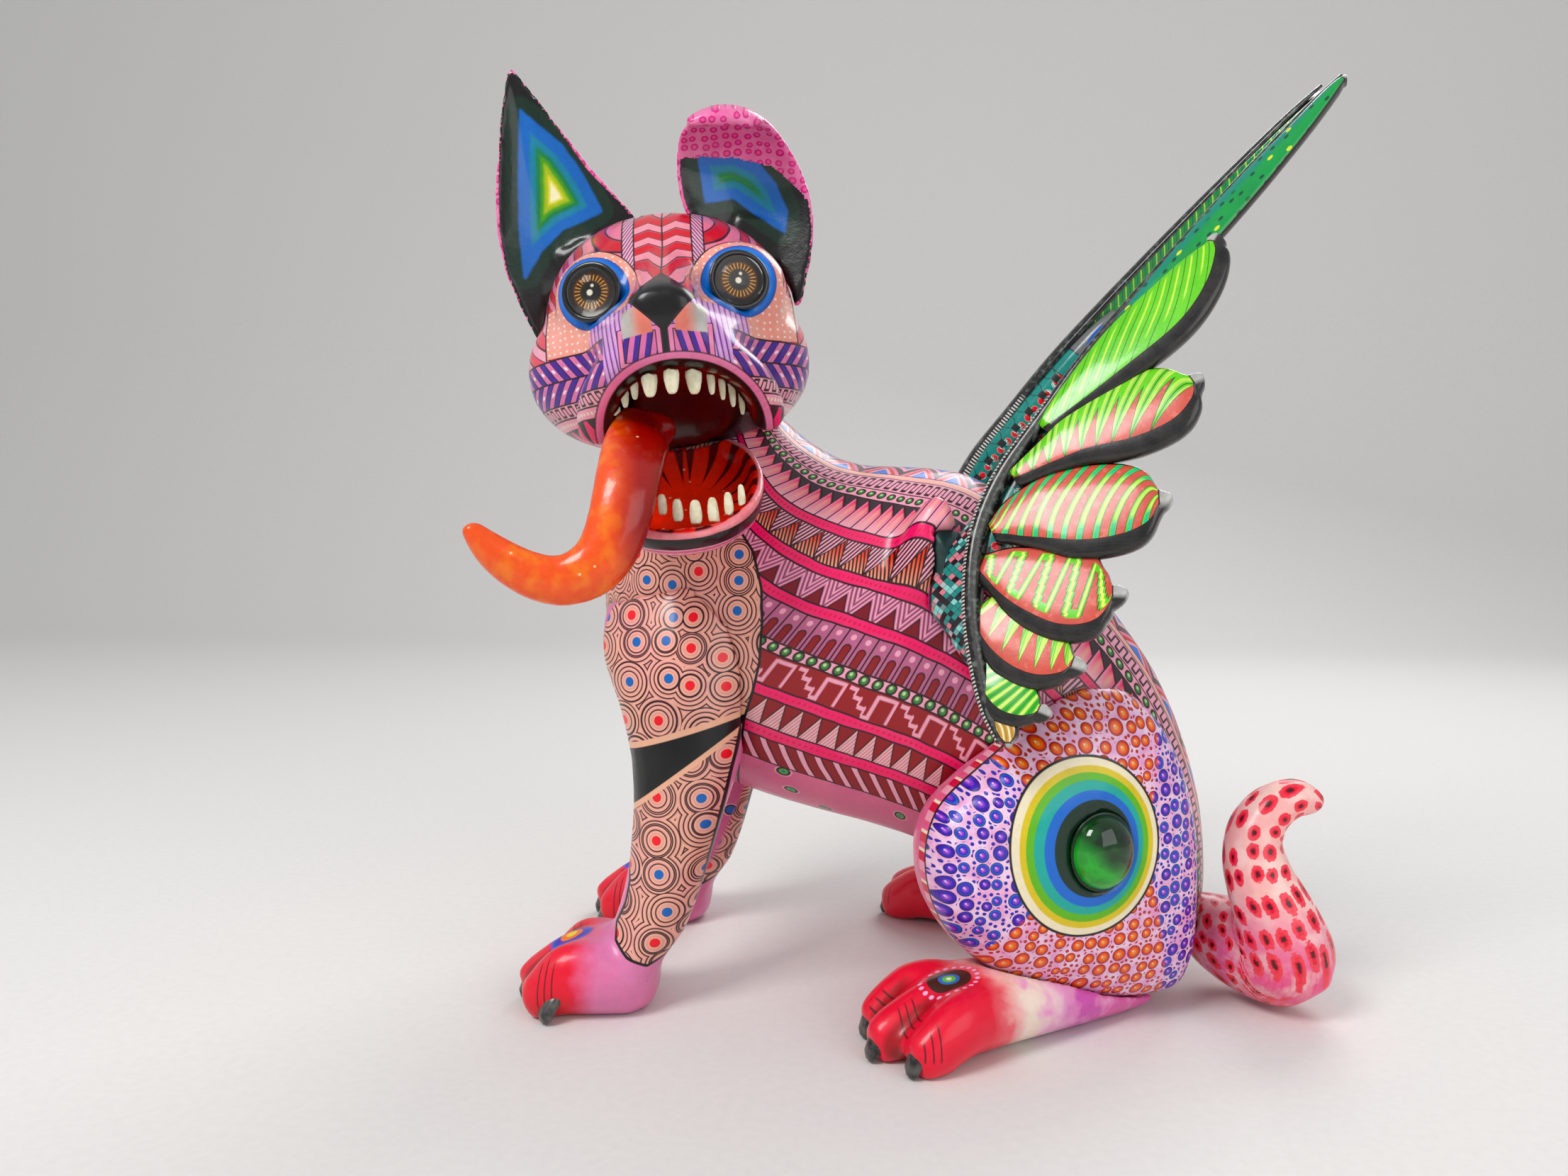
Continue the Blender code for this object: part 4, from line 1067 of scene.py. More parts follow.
def head_finish():
    sheet = Sheet("painted_head")
    x, y, z = sheet.coords("face")
    wob = (sheet.noise(6, 1) - 0.5) * 0.8
    m = x + 1                    # from the middle of the face
    am = abs(m)
    # the back and the top: rows of pink and red blocks between ink lines
    row = (z * 0.9 + y * 0.5).saw(4.2)
    blocks = layers(over("e27f98", "c92a35", row.between(0.08, 0.52, 0.05)),
        (INK, row.near(0.05, 0.09, 0.05)), (INK, row.near(0.55, 0.06, 0.04)))
    # forehead columns
    wavy = (z + y * 0.35 + abs(m).wave(8.6) * 1.2).saw(3.6)
    wave_col = layers(over("f09aa8", "d22e38", wavy.below(0.45, 0.06)),
        (INK, wavy.near(0.5, 0.07, 0.04)), (INK, wavy.near(0.98, 0.05, 0.04)))
    herring = (z + am * 1.6).saw(1.7)
    lilac_col = layers(sheet.mottled("dca3cc", PALE, 5), (INK, herring.near(0.5, 0.34, 0.14)))
    colour = layers(blocks, (wave_col, am.below(8.9, 0.2) * y.above(-30, 2)),
        (lilac_col, am.between(8.9, 12.6, 0.2)))
    column_lines = am.near(8.9, 0.5, 0.25).high(am.near(12.6, 0.5, 0.25)).high(am.near(0, 0.5,
        0.25))
    colour = over(colour, INK, column_lines * y.above(-30, 2))
    # salmon round the eyes, dotted
    ex = am - 22.5
    ez = z - 12.8
    er = length(ex, ez, (y - 40).low(0) * 0.5)
    dots = sheet.cells(sheet.vector(x, z), 2.1, 0.35)
    salmon = sheet.mottled(SALMON, "f2b3a6", 9)
    salmon = over(salmon, "fbe0d4", dots[0].below(0.36, 0.2))
    field = er.below(14.6, 0.3).high(am.above(19, 1) * z.between(-5, 11, 0.4) * am.below(40, 0.6)
        * y.above(6, 3))
    colour = layers(colour, (salmon, field), (INK, abs(er - 14.6).below(0.22, 0.2)
        * z.above(11, 1)))
    # side stripes by the ears
    flank = am.above(39.5, 0.4) * z.above(-6, 0.5)
    slats = (z * 0.5 + y * 0.25).saw(3.4)
    side_col = layers(over(PALE, "e4606e", slats.above(0.5, 0.06)),
        (INK, slats.near(0.5, 0.09, 0.05)), (INK, slats.near(0, 0.09, 0.05)))
    colour = layers(colour, (side_col, flank), (INK, abs(am - 39.5).below(0.25, 0.2)
        * z.above(-6, 0.5)))
    # muzzle: fine lilac stripes
    fine = (m + z * 0.12).saw(1.5)
    muzzle = layers(sheet.mottled(LILAC, "e3a3d4", 5), ("5b2f86", fine.near(0.5, 0.26, 0.16)),
        ("f0c9ea", fine.near(0, 0.2, 0.2) * 0.7))
    colour = over(colour, muzzle, (y + am * 0.25).above(46, 0.8) * z.below(3.5, 0.8))
    # cheeks: two rows of leaning stripes
    cz = z + am * 0.06 + wob * 0.4
    cheek_zone = (am.above(18.4, 0.3)) * cz.between(-17.2, -3.4, 0.2)
    rowed = cz.above(-10.2, 0.1)
    lean = am - y * 0.35
    stripe_up = (lean - cz * 0.9).saw(5.4)
    stripe_dn = (lean + cz * 0.9).saw(5.4)
    value = stripe_up * rowed + stripe_dn * (1 - rowed)
    bead = length((value - 0.25) * 29 ** 0.5, abs(cz + 10.2) - 3.4)
    cheek = layers(over("dd7fae", PURPLE, value.above(0.5, 0.04)),
        (INK, value.near(0.5, 0.09, 0.04)), (INK, value.near(0, 0.06, 0.04)),
        (INK, value.near(1, 0.06, 0.04)), ("fbe3f0", bead.below(0.6, 0.3)),
        (INK, abs(cz + 10.2).below(0.26, 0.2)))
    colour = layers(colour, (cheek, cheek_zone), (INK, abs(cz + 3.4).below(0.28, 0.2)
        * am.above(18.4, 0.3)))
    # key band, bead band and the dark jaw line with pink spikes
    reach = am - y * 0.5
    f = (cz + 17.2) * -1 / 4.2
    key = comb_band(reach, f, 4.2)
    low_zone = am.above(15, 0.5)
    colour = over(colour, key, cz.between(-21.4, -17.2, 0.15) * low_zone)
    beads = over("efa3b8", CREAM, circle((reach.saw(1.7) - 0.5) * 1.7, cz + 23, 0.5))
    colour = over(colour, beads, cz.between(-24.6, -21.4, 0.15) * low_zone)
    spike = reach.wave(5.6)
    jaw = layers("241016", (HOT, ((cz + 25) * -0.13 - 1 + spike * 1.5).above(0, 0.05)))
    colour = over(colour, jaw, cz.below(-24.6, 0.15) * low_zone)
    for level in (-17.2, -21.4, -24.6):
        colour = over(colour, INK, abs(cz - level).below(0.24, 0.2) * low_zone)
    # panels beside the nose, pink frames round purple bars
    px = am - 7.2
    box_d = abs(px).high(abs(z + 9.2) * 1.25 - 0.2)
    bars = (am + z * 0.25).saw(3.3)
    bars_col = layers(over("de79ad", PURPLE, bars.above(0.52, 0.05)),
        (INK, bars.near(0.52, 0.1, 0.05)))
    front = y.above(52, 1)
    colour = layers(colour, (INK, box_d.below(6.4, 0.2) * front),
        ("ec8db6", box_d.below(6.1, 0.2) * front), (INK, box_d.below(4.9, 0.2) * front),
        (bars_col, box_d.below(4.6, 0.2) * front))
    # sockets and the blue rings
    ringed = levels(er, BLACK, (8.7, "1b63c6"), (11.6, "0e3e8f"), soft=0.3)
    ringed = over(ringed, "3b8be0", er.near(10.2, 1, 1) * 0.6)
    colour = over(colour, ringed, er.below(11.9, 0.3))
    # nose, nostrils, philtrum
    nz = z - 3.4
    dia = am / 9.2 + abs(nz) / 9
    nose_zone = y.above(54, 1)
    grey = over("e98878", "b9b3ac", am.above(8, 3))
    nostril = am.between(3.2, 12, 0.3) * (z + am * 0.12).between(-5.2, 2.4, 0.3)
    colour = layers(colour, (grey, nostril * nose_zone), (INK,
        abs(dia - 1.02).below(0.03, 0.02) * nose_zone), (BLACK, dia.below(1, 0.03) * nose_zone),
        (BLACK, am.below(0.9, 0.3) * z.between(-16, -2, 0.4) * y.above(50, 1)))
    # mouth: ink, a pink lip line, and the dark red inside, with painted shade toward the back of
    # the mouth
    mx = (x - 1) / 22
    mz = (z + 32) / 17
    my = (y - 50) / 33
    e2 = length(mx, mz)
    e3 = length(mx, mz, my)
    around_mouth = y.above(12, 4)
    colour = layers(colour, (INK, e2.below(1.235, 0.02) * around_mouth),
        ("ea86ae", e2.below(1.215, 0.02) * around_mouth), (BLACK,
        e2.below(1.12, 0.02) * around_mouth))
    palate = over("5e0a0d", "8e1512", sheet.noise(4, 3))
    # painted shade: the palate darkens toward the back of the mouth
    palate = over(palate, "2c0507", y.below(34, 18) * 0.8)
    colour = over(colour, palate, e3.below(1.05, 0.03))
    return sheet.done(colour, 0.30, 0.6)


def jaw_finish():
    sheet = Sheet("painted_jaw")
    x, y, z = sheet.coords("jaw")
    hx, hy, hz = x / 21, y / 27, (z - 2) / 12
    inside = length(hx, hy, hz).below(1.09, 0.03)
    angle = sheet.op("ARCTAN2", x, y + 3)
    r = length(hx, hy)
    wedge = (abs(angle.saw(0.36) - 0.5) - (r - 0.52) * 0.42).below(0, 0.06) * r.above(0.5, 0.05)
    base = over("ff2a0c", "d81c14", r.above(0.75, 0.4))
    base = over(base, "e83c2c", sheet.noise(3, 3).above(0.55, 0.2) * 0.6)
    dots = sheet.cells(sheet.place(), 4.4, 0.9, flat=False)
    floor = layers(base, ("5a060c", wedge), ("f7b9a4", dots[0].below(0.42, 0.2)
        * r.below(0.8, 0.1)))
    lip = sheet.mottled("e0707a", "f0a0a4", 4)
    skin = levels(z, INK, (-1.6, BLACK), (0, lip), soft=0.3)
    under = over("d86a92", PALE, (z + y * 0.1).saw(2.6).near(0.5, 0.5, 0.1))
    skin = over(skin, under, z.below(-4.2, 0.3))
    colour = over(skin, floor, inside)
    return sheet.done(colour, 0.26, 0.7)


def tongue_finish():
    sheet = Sheet("painted_tongue")
    x, _, z = sheet.coords("face")
    base = over("c9241c", "ef5a2c", (x * -1 + sheet.noise(8) * 8).above(20, 10))
    base = layers(base, ("f06a52", (z + x * 0.2).near(-45, 14, 12) * 0.55),
        ("8a0e10", (x + 16).above(0, 9) * 0.85))
    base = over(base, "f2862f", sheet.noise(5, 2).above(0.58, 0.2) * (x * -1).above(18, 8) * 0.6)
    dots = sheet.cells(sheet.place(), 5.6, 0.9, flat=False)
    colour = over(base, "f6c2a0", dots[0].below(0.4, 0.2) * dots[2].above(0.25, 0.02))
    return sheet.done(colour, 0.26, 0.75, depth=0.2)


def tooth_finish():
    sheet = Sheet("tooth_paint")
    colour = over("e6ddb8", "c9c2a4", sheet.noise(1.6, 3))
    colour = over(colour, "f4eed6", sheet.noise(3).above(0.5, 0.2) * 0.6)
    return sheet.done(colour, 0.28, 0.6)


def build_head():
    head = carved("head", 0.9, 7)
    write(head, "face", head_coords(head))
    settle(head, "head", head_finish())
    jaw = carved("lower_jaw", 0.7, 6)
    turn = Matrix.Rotation(JAW_PITCH, 3, "X")
    rel = head_coords(jaw) - np.array(JAW_AT)
    write(jaw, "jaw", rel @ np.array(turn))
    settle(jaw, "lower_jaw", jaw_finish())
    tongue = carved("tongue", 0.8, 8)
    write(tongue, "face", head_coords(tongue))
    settle(tongue, "tongue", tongue_finish())
    ivory = tooth_finish()
    for node in sorted(frame["nodes"]):
        if "tooth" in node:
            settle(carved(node, 0.25, 3), node, ivory)


# ---- eyes

def iris_finish():
    sheet = Sheet("painted_iris")
    x, y, _ = sheet.coords("disc")
    r = length(x, y)
    angle = sheet.op("ARCTAN2", y, x)
    rays = angle.saw(0.2417)
    gold = abs(rays - 0.5).below(0.13, 0.1) * r.between(3.1, 4.7, 0.3)
    colour = levels(r, BLACK, (2.3, "1c0c06"), (3, "4a220e"), (4.4, "5c2b10"), (5.1, "1c0c06"),
        (5.8, BLACK), soft=0.4)
    colour = over(colour, "f0b850", gold)
    shine_a = circle(x + 0.3, y + 0.2, 0.85)
    shine_b = circle(x - 0.5, y - 1.7, 0.45)
    colour = over(colour, "f8f4e8", shine_a.high(shine_b))
    return sheet.done(colour, 0.3, 0.6, wear=0.2)


def clear_finish():
    sheet = Sheet("clear_eye_glass")
    sheet.plug(sheet.mottled("ffffff", "f3efe6", 3), sheet.shader.inputs["Base Color"])
    sheet.plug(sheet.noise(2) * 0.02 + 0.01, sheet.shader.inputs["Roughness"])
    sheet.fixed(Transmission_Weight=1, IOR=1.22, Specular_IOR_Level=0.4)
    return sheet.material


def build_eyes():
    iris = iris_finish()
    clear = clear_finish()
    rim_sheet = Sheet("socket_lacquer")
    rim = rim_sheet.done(rim_sheet.mottled(BLACK, "242424", 2), 0.2, 0.8)
    for word, side in zip(SIDES, (1, -1)):
        axis = (SIDE * side * 0.22 + FORWARD * 0.96 + UP * 0.12).normalized()
        base = from_head(side * 21.6 - 1, 35, 12)
        across = (UP - axis * axis.dot(UP)).normalized()
        right = axis.cross(across)
        right = right if right.dot(SIDE) > 0 else -right
        disc = dome_shape("iris_" + word, base + axis * 0.2, axis, 8.7, 1.8, 1, rings=8)
        write(disc, "disc", on_axes(disc, base, right, across, axis))
        settle(disc, "eye_" + word, iris)
        lens = dome_shape("cornea_" + word, base + axis * 3.1, axis, 7.6, 0.3, 4.6)
        trim_piece(lens, "eye_" + word, clear)
        ring = ring_shape("socket_rim_" + word, base + axis * 3.4, axis, 8.4, 0.9)
        trim_piece(ring, "head", rim)


# ---- ears

# the inner faces of the ears and the turned-over lip, sideways and up from the head's middle, mm
UPRIGHT = [(-46.5, 84), (-33.3, 70.2), (-27.7, 60.5), (-22.4, 47.9), (-36.4, 43.9), (-44.3, 36.7),
    (-49.6, 27.5), (-50.2, 44.3), (-48.4, 67.8)]
FOLDED = [(12, 62), (13.2, 47.4), (22.4, 48.6), (30.3, 42.1), (38.6, 35.4), (39.8, 42),
    (36.9, 51.2), (32, 58), (24, 62)]
FOLD = [(-4, 60), (14, 61.6), (24, 61), (36, 57), (41, 52.5), (47.5, 44), (70, 44), (70, 90),
    (-4, 90)]


def ear_finish(name):
    sheet = Sheet("painted_" + name)
    d, facing, edge = sheet.coords("ear")
    wob = (sheet.noise(5) - 0.5) * 0.8
    t = d + wob
    core = levels(t * -1, BLACK, (-4.4, "0d2a1c"), (-0.5, "1266bb"), (3.2, "107f9c"),
        (5.2, "1c7c48"), (6.6, "4a9a26"), (7.8, "a2bd24"), (9, "d8d23a"), (9.8, "f4efc0"),
        soft=0.9)
    fx, fy, fz = sheet.coords("face")
    spots = sheet.cells(sheet.vector(fx, fz + fy * 0.6), 3.5, 0.4)
    skin = sheet.mottled("f095bd", "e2619b", 6)
    bump = (spots[0] / spots[1]).below(0.78, 0.2)
    skin = layers(skin, ("d63a84", bump), ("ee6aa4", (spots[0] / spots[1]).below(0.4, 0.3)))
    turned = facing.below(0.12, 0.1).high(edge.below(1.1, 0.4))
    colour = over(core, skin, turned)
    return sheet.done(colour, 0.30, 0.6, height=turned * bump * 1.2, depth=0.35)


def build_ears():
    for word, outline in (("right", UPRIGHT), ("left", FOLDED)):
        node = "ear_" + word
        obj = carved(node, 0.75, 8)
        places = head_coords(obj)
        facing = per_vertex(obj, "normal") @ np.array(FORWARD)
        d = polygon_distance(places[:, [0, 2]], outline)
        hull = rim_distance(places)
        if word == "left":
            fold = polygon_distance(places[:, [0, 2]], FOLD)
            facing = np.where(fold < 0, -1, facing)
        write(obj, "ear", np.column_stack([d, facing, hull]))
        write(obj, "face", places)
        settle(obj, node, ear_finish(node))


def rim_distance(places):
    """Distance in mm from each point to the outer edge of its ear, seen from the front."""
    flat = places[:, [0, 2]]
    middle = flat.mean(axis=0)
    rel = flat - middle
    angle = np.arctan2(rel[:, 1], rel[:, 0])
    slot = ((angle + math.pi) / (2 * math.pi) * 120).astype(int) % 120
    far = np.zeros(120)
    size = np.hypot(rel[:, 0], rel[:, 1])
    np.maximum.at(far, slot, size)
    return far[slot] - size


# ---- wings

WING_ROOT = Vector((7, 47, 144))
WING_OUT = Vector((-0.25, 0.90, 0.33)).normalized()
WING_UP = upright(WING_OUT)
WING_CHORD = WING_UP.cross(WING_OUT)
WING_CHORD = WING_CHORD if WING_CHORD.x > 0 else -WING_CHORD
FEATHERS = {  # middle chord and up, half width of the painted field, from root to tip
    1: [(21, 53, 2.2), (33, 70, 3.4), (47, 88, 4.4), (60, 106.5, 4.6), (73, 125, 4.2),
        (86, 144, 3), (94, 156.5, 1.9), (98, 162.5, 0.9)],
    2: [(17, 44, 1.6), (27, 55, 4.4), (40, 70, 7.2), (50, 81, 7.8), (57, 91, 6.2),
        (61.5, 99, 3.2), (63, 103, 0.8)],
    3: [(10, 28, 1.4), (20, 35, 4.2), (30, 42, 7.2), (41, 47.5, 10), (51, 52, 9.6),
        (57, 55, 6.2), (59.6, 56.6, 1.8)],
    4: [(5, 11, 1.6), (12, 14.5, 6.4), (22, 17.5, 10.2), (33, 19, 11.8), (43, 20, 10.8),
        (49.5, 20.5, 7.8), (52.6, 20.8, 2.6)],
    5: [(3.5, 0.5, 2.6), (11, -1.5, 7), (20, -4.5, 9.8), (29, -6.5, 11.4), (36, -7.5, 9.8),
        (40, -7.5, 5.6), (41.6, -7.4, 1.6)],
    6: [(4.8, -12, 3.4), (10, -17, 6.8), (17, -22, 8.2), (24, -25.5, 7.6), (29, -27.5, 4.8),
        (31.8, -28.2, 1.4)],
    7: [(7.6, -28.5, 2.4), (10.5, -33, 5.2), (15, -37.3, 6.2), (19, -40, 5),
        (22, -41.5, 2.8), (23.4, -42, 0.9)],
    8: [(11.5, -42.5, 1), (12.8, -45.5, 2.2), (14.4, -48, 2.5), (15.2, -50.6, 1.9),
        (15.4, -52.2, 0.6)],
}
BLADES = {  # lift, thickness, black trailing side, black leading side, length of the black end
    1: (1, 3, 0.4, 0.3, 2.2), 2: (2, 3.4, 5, 0.9, 4), 3: (1.8, 3.6, 5.4, 0.9, 3.8),
    4: (1.4, 3.6, 5.4, 0.9, 3.8), 5: (1, 3.6, 5, 1, 4.2), 6: (0.5, 3.2, 4.6, 1, 4),
    7: (0.2, 2.8, 4, 0.8, 3.8), 8: (0, 2.2, 1.8, 0.8, 1.4),
}
WING_BEND = 0.00075                   # inward lean of the tip, per squared mm past the bend
WING_BEND_FROM = 30                 # mm up
FAR_WING_TURN = math.radians(3)     # how the right wing is set beside the left one's mirror
FAR_WING_MOVE = Vector((-8, 0, 9))
PULL = Vector((0.45, 0.84, 0.30)).normalized()   # the way that the wing comes out
TENON_MOUTH = (-9, 2, -5)             # chord, up, outward
TENON_HALF = (4.45, 9.9)              # half thickness and half height, just inside the CAD's
TENON_ROWS = [(-16, 0.86), (-15.3, 0.97), (-14, 1), (-11.2, 1), (-10.8, 1), (-4, 1),
              (2.5, 1)]             # mm along the pull, share of the full section
TENON_BARE = -11                    # mm along the pull at which the dark paint begins


def on_wing(c, u, w):
    return WING_ROOT + WING_CHORD * c + WING_UP * u \
        + WING_OUT * (w - WING_BEND * max(0, u - WING_BEND_FROM) ** 2)


def carried(word, p):
    """Takes a point of the wing's own shape to its side of the figure."""
    if word == "left":
        return Vector((p.x, -p.y, p.z)) + SHIFT
    turn = Matrix.Rotation(FAR_WING_TURN, 3, WING_OUT)
    return WING_ROOT + turn @ (p - WING_ROOT) + FAR_WING_MOVE + SHIFT


def tenon_shape(name, word):
    """The flat tenon that goes into the torso's socket."""
    up = upright(PULL)
    across = up.cross(PULL)
    mouth = on_wing(*TENON_MOUTH)
    loops, marks = [], []
    for along, size in TENON_ROWS:
        loop = []
        for angle in turns(40):
            wide, tall = [half * size * blunt(part, 0.3) for half,
                part in zip(TENON_HALF, (math.cos(angle), math.sin(angle)))]
            loop.append(carried(word, mouth + PULL * along + across * wide + up * tall))
            marks.append((along, wide, tall))
        loops.append(loop)
    tenon = lathe_like(name, loops)
    marks += [(TENON_ROWS[0][0], 0, 0), (TENON_ROWS[-1][0], 0, 0)]
    write(tenon, "along", np.array(marks))
    return tenon


def wing_place(word):
    """The function that puts chord, up and outward mm of one wing into the room."""
    return lambda c, u, w: carried(word, on_wing(c, u, w))


def feather_shape(name, key, place):
    """One feather: a lifted blade, flat on its painted face, with a rounded black side."""
    rows = spline(FEATHERS[key], 6)
    lift, thick, trail, lead, end = BLADES[key]
    middle = rows[:, :2]
    ways, lengths = along_path(middle)
    total = lengths[-1]
    stations = [(p, way, at, max(row[2], 0.5), 0) for p, way, at,
        row in zip(middle, ways, lengths, rows)]
    stations += [(middle[-1] + ways[-1] * end * k, ways[-1], total + end * k, 0.5, k)
        for k in (0.3, 0.55, 0.75, 0.9, 0.98)]
    loops, marks = [], []
    for p, way, at, half, k in stations:
        side = np.array([way[1], -way[0]])       # toward the trailing side
        t = min(at / total, 1)
        near_end = max(0, (at - total + end * 1.6) / (end * 2.6))
        round_off = math.sqrt(max(0, 1 - near_end ** 2.2))
        if key == 1 and k < 0.9:
            round_off = max(round_off, 0.35)
        tip_half = max(half, end * 0.85) if k > 0 else half
        back = max(half + trail * min(1, 0.25 + t * 1.6), tip_half + trail * 0.55)
        front = max(half + lead, tip_half * (0.85 if key != 1 else 0.3))
        body = thick * (0.55 + 0.45 * min(1, t * 3)) * (0.45 + 0.55 * round_off)
        loop = []
        for angle in turns(28):
            ca, sa = math.cos(angle), math.sin(angle)
            s = (back if ca > 0 else front) * max(round_off, 0.12) * blunt(ca, 0.8)
            w = lift + body * blunt(sa, 0.55) + 0.9 * (s / 12) * (1 if sa > 0 else 0.6)
            loop.append(place(*(p + side * s), w))
            marks.append((at, s, sa * body))
        loops.append(loop)
    marks += [np.mean(marks[:28], axis=0), np.mean(marks[-28:], axis=0)]
    return lathe_like(name, loops), np.array(marks), rows, lengths


def feather_finish(key, word):
    """The painted field of one feather inside black lacquer, with a pale grey tip."""
    sheet = Sheet("painted_feather_%d_%s" % (key, word))
    t, s, w = sheet.coords("quill")
    half, _, end = sheet.coords("field")
    salmon = sheet.mottled("d86a5c", "c4554b", 6)
    salmon = over(salmon, "e89080", sheet.noise(2.5).above(0.62, 0.1) * 0.5)
    green = sheet.mottled("58c22c", "7bd63c", 8)
    lime = sheet.mottled("a8e24a", "d9ee7c", 4)
    across = s / half.high(0.5)
    if key == 1:
        teal = across.below(0.15 - 0.45, 0.35)
        field = over(sheet.mottled("2fa04e", "1f8a4a", 9), "17876f", teal)
        dots = sheet.cells(sheet.vector(t * 0.45, s), 2.6, 0.9)
        field = layers(field, ("0e4a34", dots[0].below(0.45, 0.15) * dots[2].above(0.45, 0.02)),
            ("d8e04c", dots[0].below(0.5, 0.15) * dots[2].below(0.22, 0.02)))
    elif key == 2:
        wave = (t + s * 2).saw(7.4)
        field = layers(green, (lime, wave.near(0.52, 0.15, 0.12)
            * across.between(-0.75, 0.55, 0.15)), ("e6ea68",
            wave.near(0.52, 0.06, 0.05) * across.between(-0.6, 0.4, 0.1)),
            ("0d3a18", wave.near(0.02, 0.035, 0.03)), ("0d3a18", wave.near(0.99, 0.03, 0.03)))
    elif key == 3:
        slant = t + (s + half) * 0.95
        wave = slant.wave(7.2)
        peak = across + wave * 1.5 - 1.1
        stripe = (slant * 0.5).saw(1.8)
        blades = layers(green, (lime, stripe.near(0.5, 0.2, 0.1)),
            ("c8e070", wave.near(0.3, 0.12, 0.08)))
        field = layers(blades, (salmon, peak.above(0, 0.05)),
            ("14401a", abs(peak).below(0.05, 0.03)), ("14401a", wave.near(0.02, 0.05, 0.03)))
    elif key == 4:
        bend = t + across * 6.2 - across * across * 2.2
        wave = bend.saw(4.7)
        stripe = wave.between(0.30, 0.72, 0.05)
        tone = over(lime, "35c08c", abs(across).above(0.62, 0.2))
        field = layers(salmon, (green, stripe), (tone, wave.between(0.42, 0.66, 0.06)),
            ("1d4a1c", wave.near(0.30, 0.045, 0.03)), ("1d4a1c", wave.near(0.73, 0.045, 0.03)))
    elif key == 5:
        p = (t + s * 0.12).saw(8.4)
        v = across * 0.5 + 0.5
        stair = 0.16 + ((v * 7).floor() / 7) * 0.40
        tall = v.between(0.10, 0.90, 0.02)
        off = abs(p - stair)
        leg = abs(p - 0.86)
        foot = p.between(0.50, 0.92, 0.02) * v.between(0.80, 0.92, 0.02)
        head = p.below(0.24, 0.02).high(p.above(0.80, 0.02)) * v.between(0.08, 0.20, 0.02)
        wide = (off.below(0.12, 0.015).high(leg.below(0.085, 0.015)) * tall).high(foot).high(head)
        core = off.below(0.05, 0.015).high(leg.below(0.035, 0.015)) * tall
        field = layers(salmon, ("1d4a1c", (off.below(0.15, 0.015).high(leg.below(0.11, 0.015))
            * tall)), (green, wide), ("e2f07c", core))
    elif key == 6:
        slant = t - (s + half) * 0.28
        wave = slant.wave(5)
        spike = (wave * 1.7 - 0.9 - across).above(0, 0.06)
        line = slant.saw(1)
        spikes = layers(over(lime, green, (slant.saw(5)).above(0.5, 0.1)),
            ("eef0a0", line.near(0.5, 0.16, 0.1) * 0.8))
        field = layers(salmon, ("2b4a18", (wave * 1.7 - 0.82 - across).above(0, 0.03)),
            (spikes, spike))
    elif key == 7:
        wave = (t + s * 0.15).saw(2.5)
        field = layers("3fae3a", (lime, wave.between(0.3, 0.72, 0.06)),
            ("eaf0a0", wave.near(0.5, 0.08, 0.06)), ("17401a", wave.near(0.02, 0.06, 0.05)))
    else:
        wave = (s + 10).saw(1.7)
        field = layers("c99a4a", ("efe3b0", wave.between(0.3, 0.62, 0.08)),
            ("5a3a14", wave.near(0.02, 0.08, 0.05)))
    black = over("100f0f", "2a2826", sheet.noise(5, 3).above(0.45, 0.3))
    grain = (s + sheet.noise(7) * 2).saw(1.1)
    black = over(black, "3a3632", grain.near(0.5, 0.14, 0.12) * 0.35)
    grey = sheet.mottled("cfcdc8", "8f8d89", 3)
    tip = end.above(-0.6, 2.2) * across.below(1.1, 0.9)
    black = over(black, grey, tip)
    face = w.above(0.2, 0.4)
    inside = (abs(s) - half).below(0, 0.12) * end.below(0, 0.2)
    colour = layers(black, (INK, (abs(s) - half).below(0.35, 0.1) * end.below(0.4, 0.2) * face),
        (field, inside * face))
    back = layers(over("3aa63a", "2b8f4c", across.below(0, 0.6)),
        ("bfe05a", (t - abs(s) * 0.8).saw(3.6).near(0.5, 0.14, 0.08)),
        ("103a1a", (t - abs(s) * 0.8).saw(3.6).near(0.02, 0.07, 0.04)),
        ("d4474f", (across - (t.wave(6) * 0.9 + 0.25)).above(0, 0.06)))
    colour = over(colour, back, w.below(-0.2, 0.4) * inside)
    return sheet.done(colour, 0.26, 0.75)


def rim_finish(word):
    sheet = Sheet("rim_lacquer_" + word)
    t, s, _ = sheet.coords("quill")
    streak = sheet.noise(2.2, 4)
    colour = over("161515", "5c5a57", (s * 0.8 + streak * 1.6).saw(1.9).near(0.5, 0.2, 0.2) * 0.7)
    colour = over(colour, "7d8a80", streak.above(0.6, 0.15) * 0.45)
    tick = t.saw(1.15)
    comb = s.between(-1.15, -0.55, 0.05)
    colour = layers(colour, (over("0d0d0d", "cfd6cc", tick.above(0.5, 0.1)),
        comb * t.below(112, 3)))
    return sheet.done(colour, 0.22, 0.85)


def boss_finish(word):
    sheet = Sheet("painted_boss_" + word)
    x, y, z = sheet.coords("boss")
    a = (x + y * 0.8).saw(2.3)
    b = (x - y * 0.8).saw(2.3)
    lot = sheet.cells(sheet.vector((x + y * 0.8) * 0.7, (x - y * 0.8) * 0.7), 1.6, 0)
    tint = levels(lot[2], "1c1a1c", (0.25, "2f8f88"), (0.5, "e08a96"), (0.68, "8fd6ce"),
        (0.86, "13343a"), soft=0.03)
    colour = layers(tint, (INK, a.near(0.5, 0.07, 0.04)), (INK, b.near(0.5, 0.07, 0.04)))
    lip = z.below(0.16, 0.05)
    pink = sheet.mottled("a3327c", "d2609e", 4)
    colour = layers(colour, (BLACK, z.below(0.24, 0.04)), (pink, lip))
    return sheet.done(colour, 0.26, 0.7)


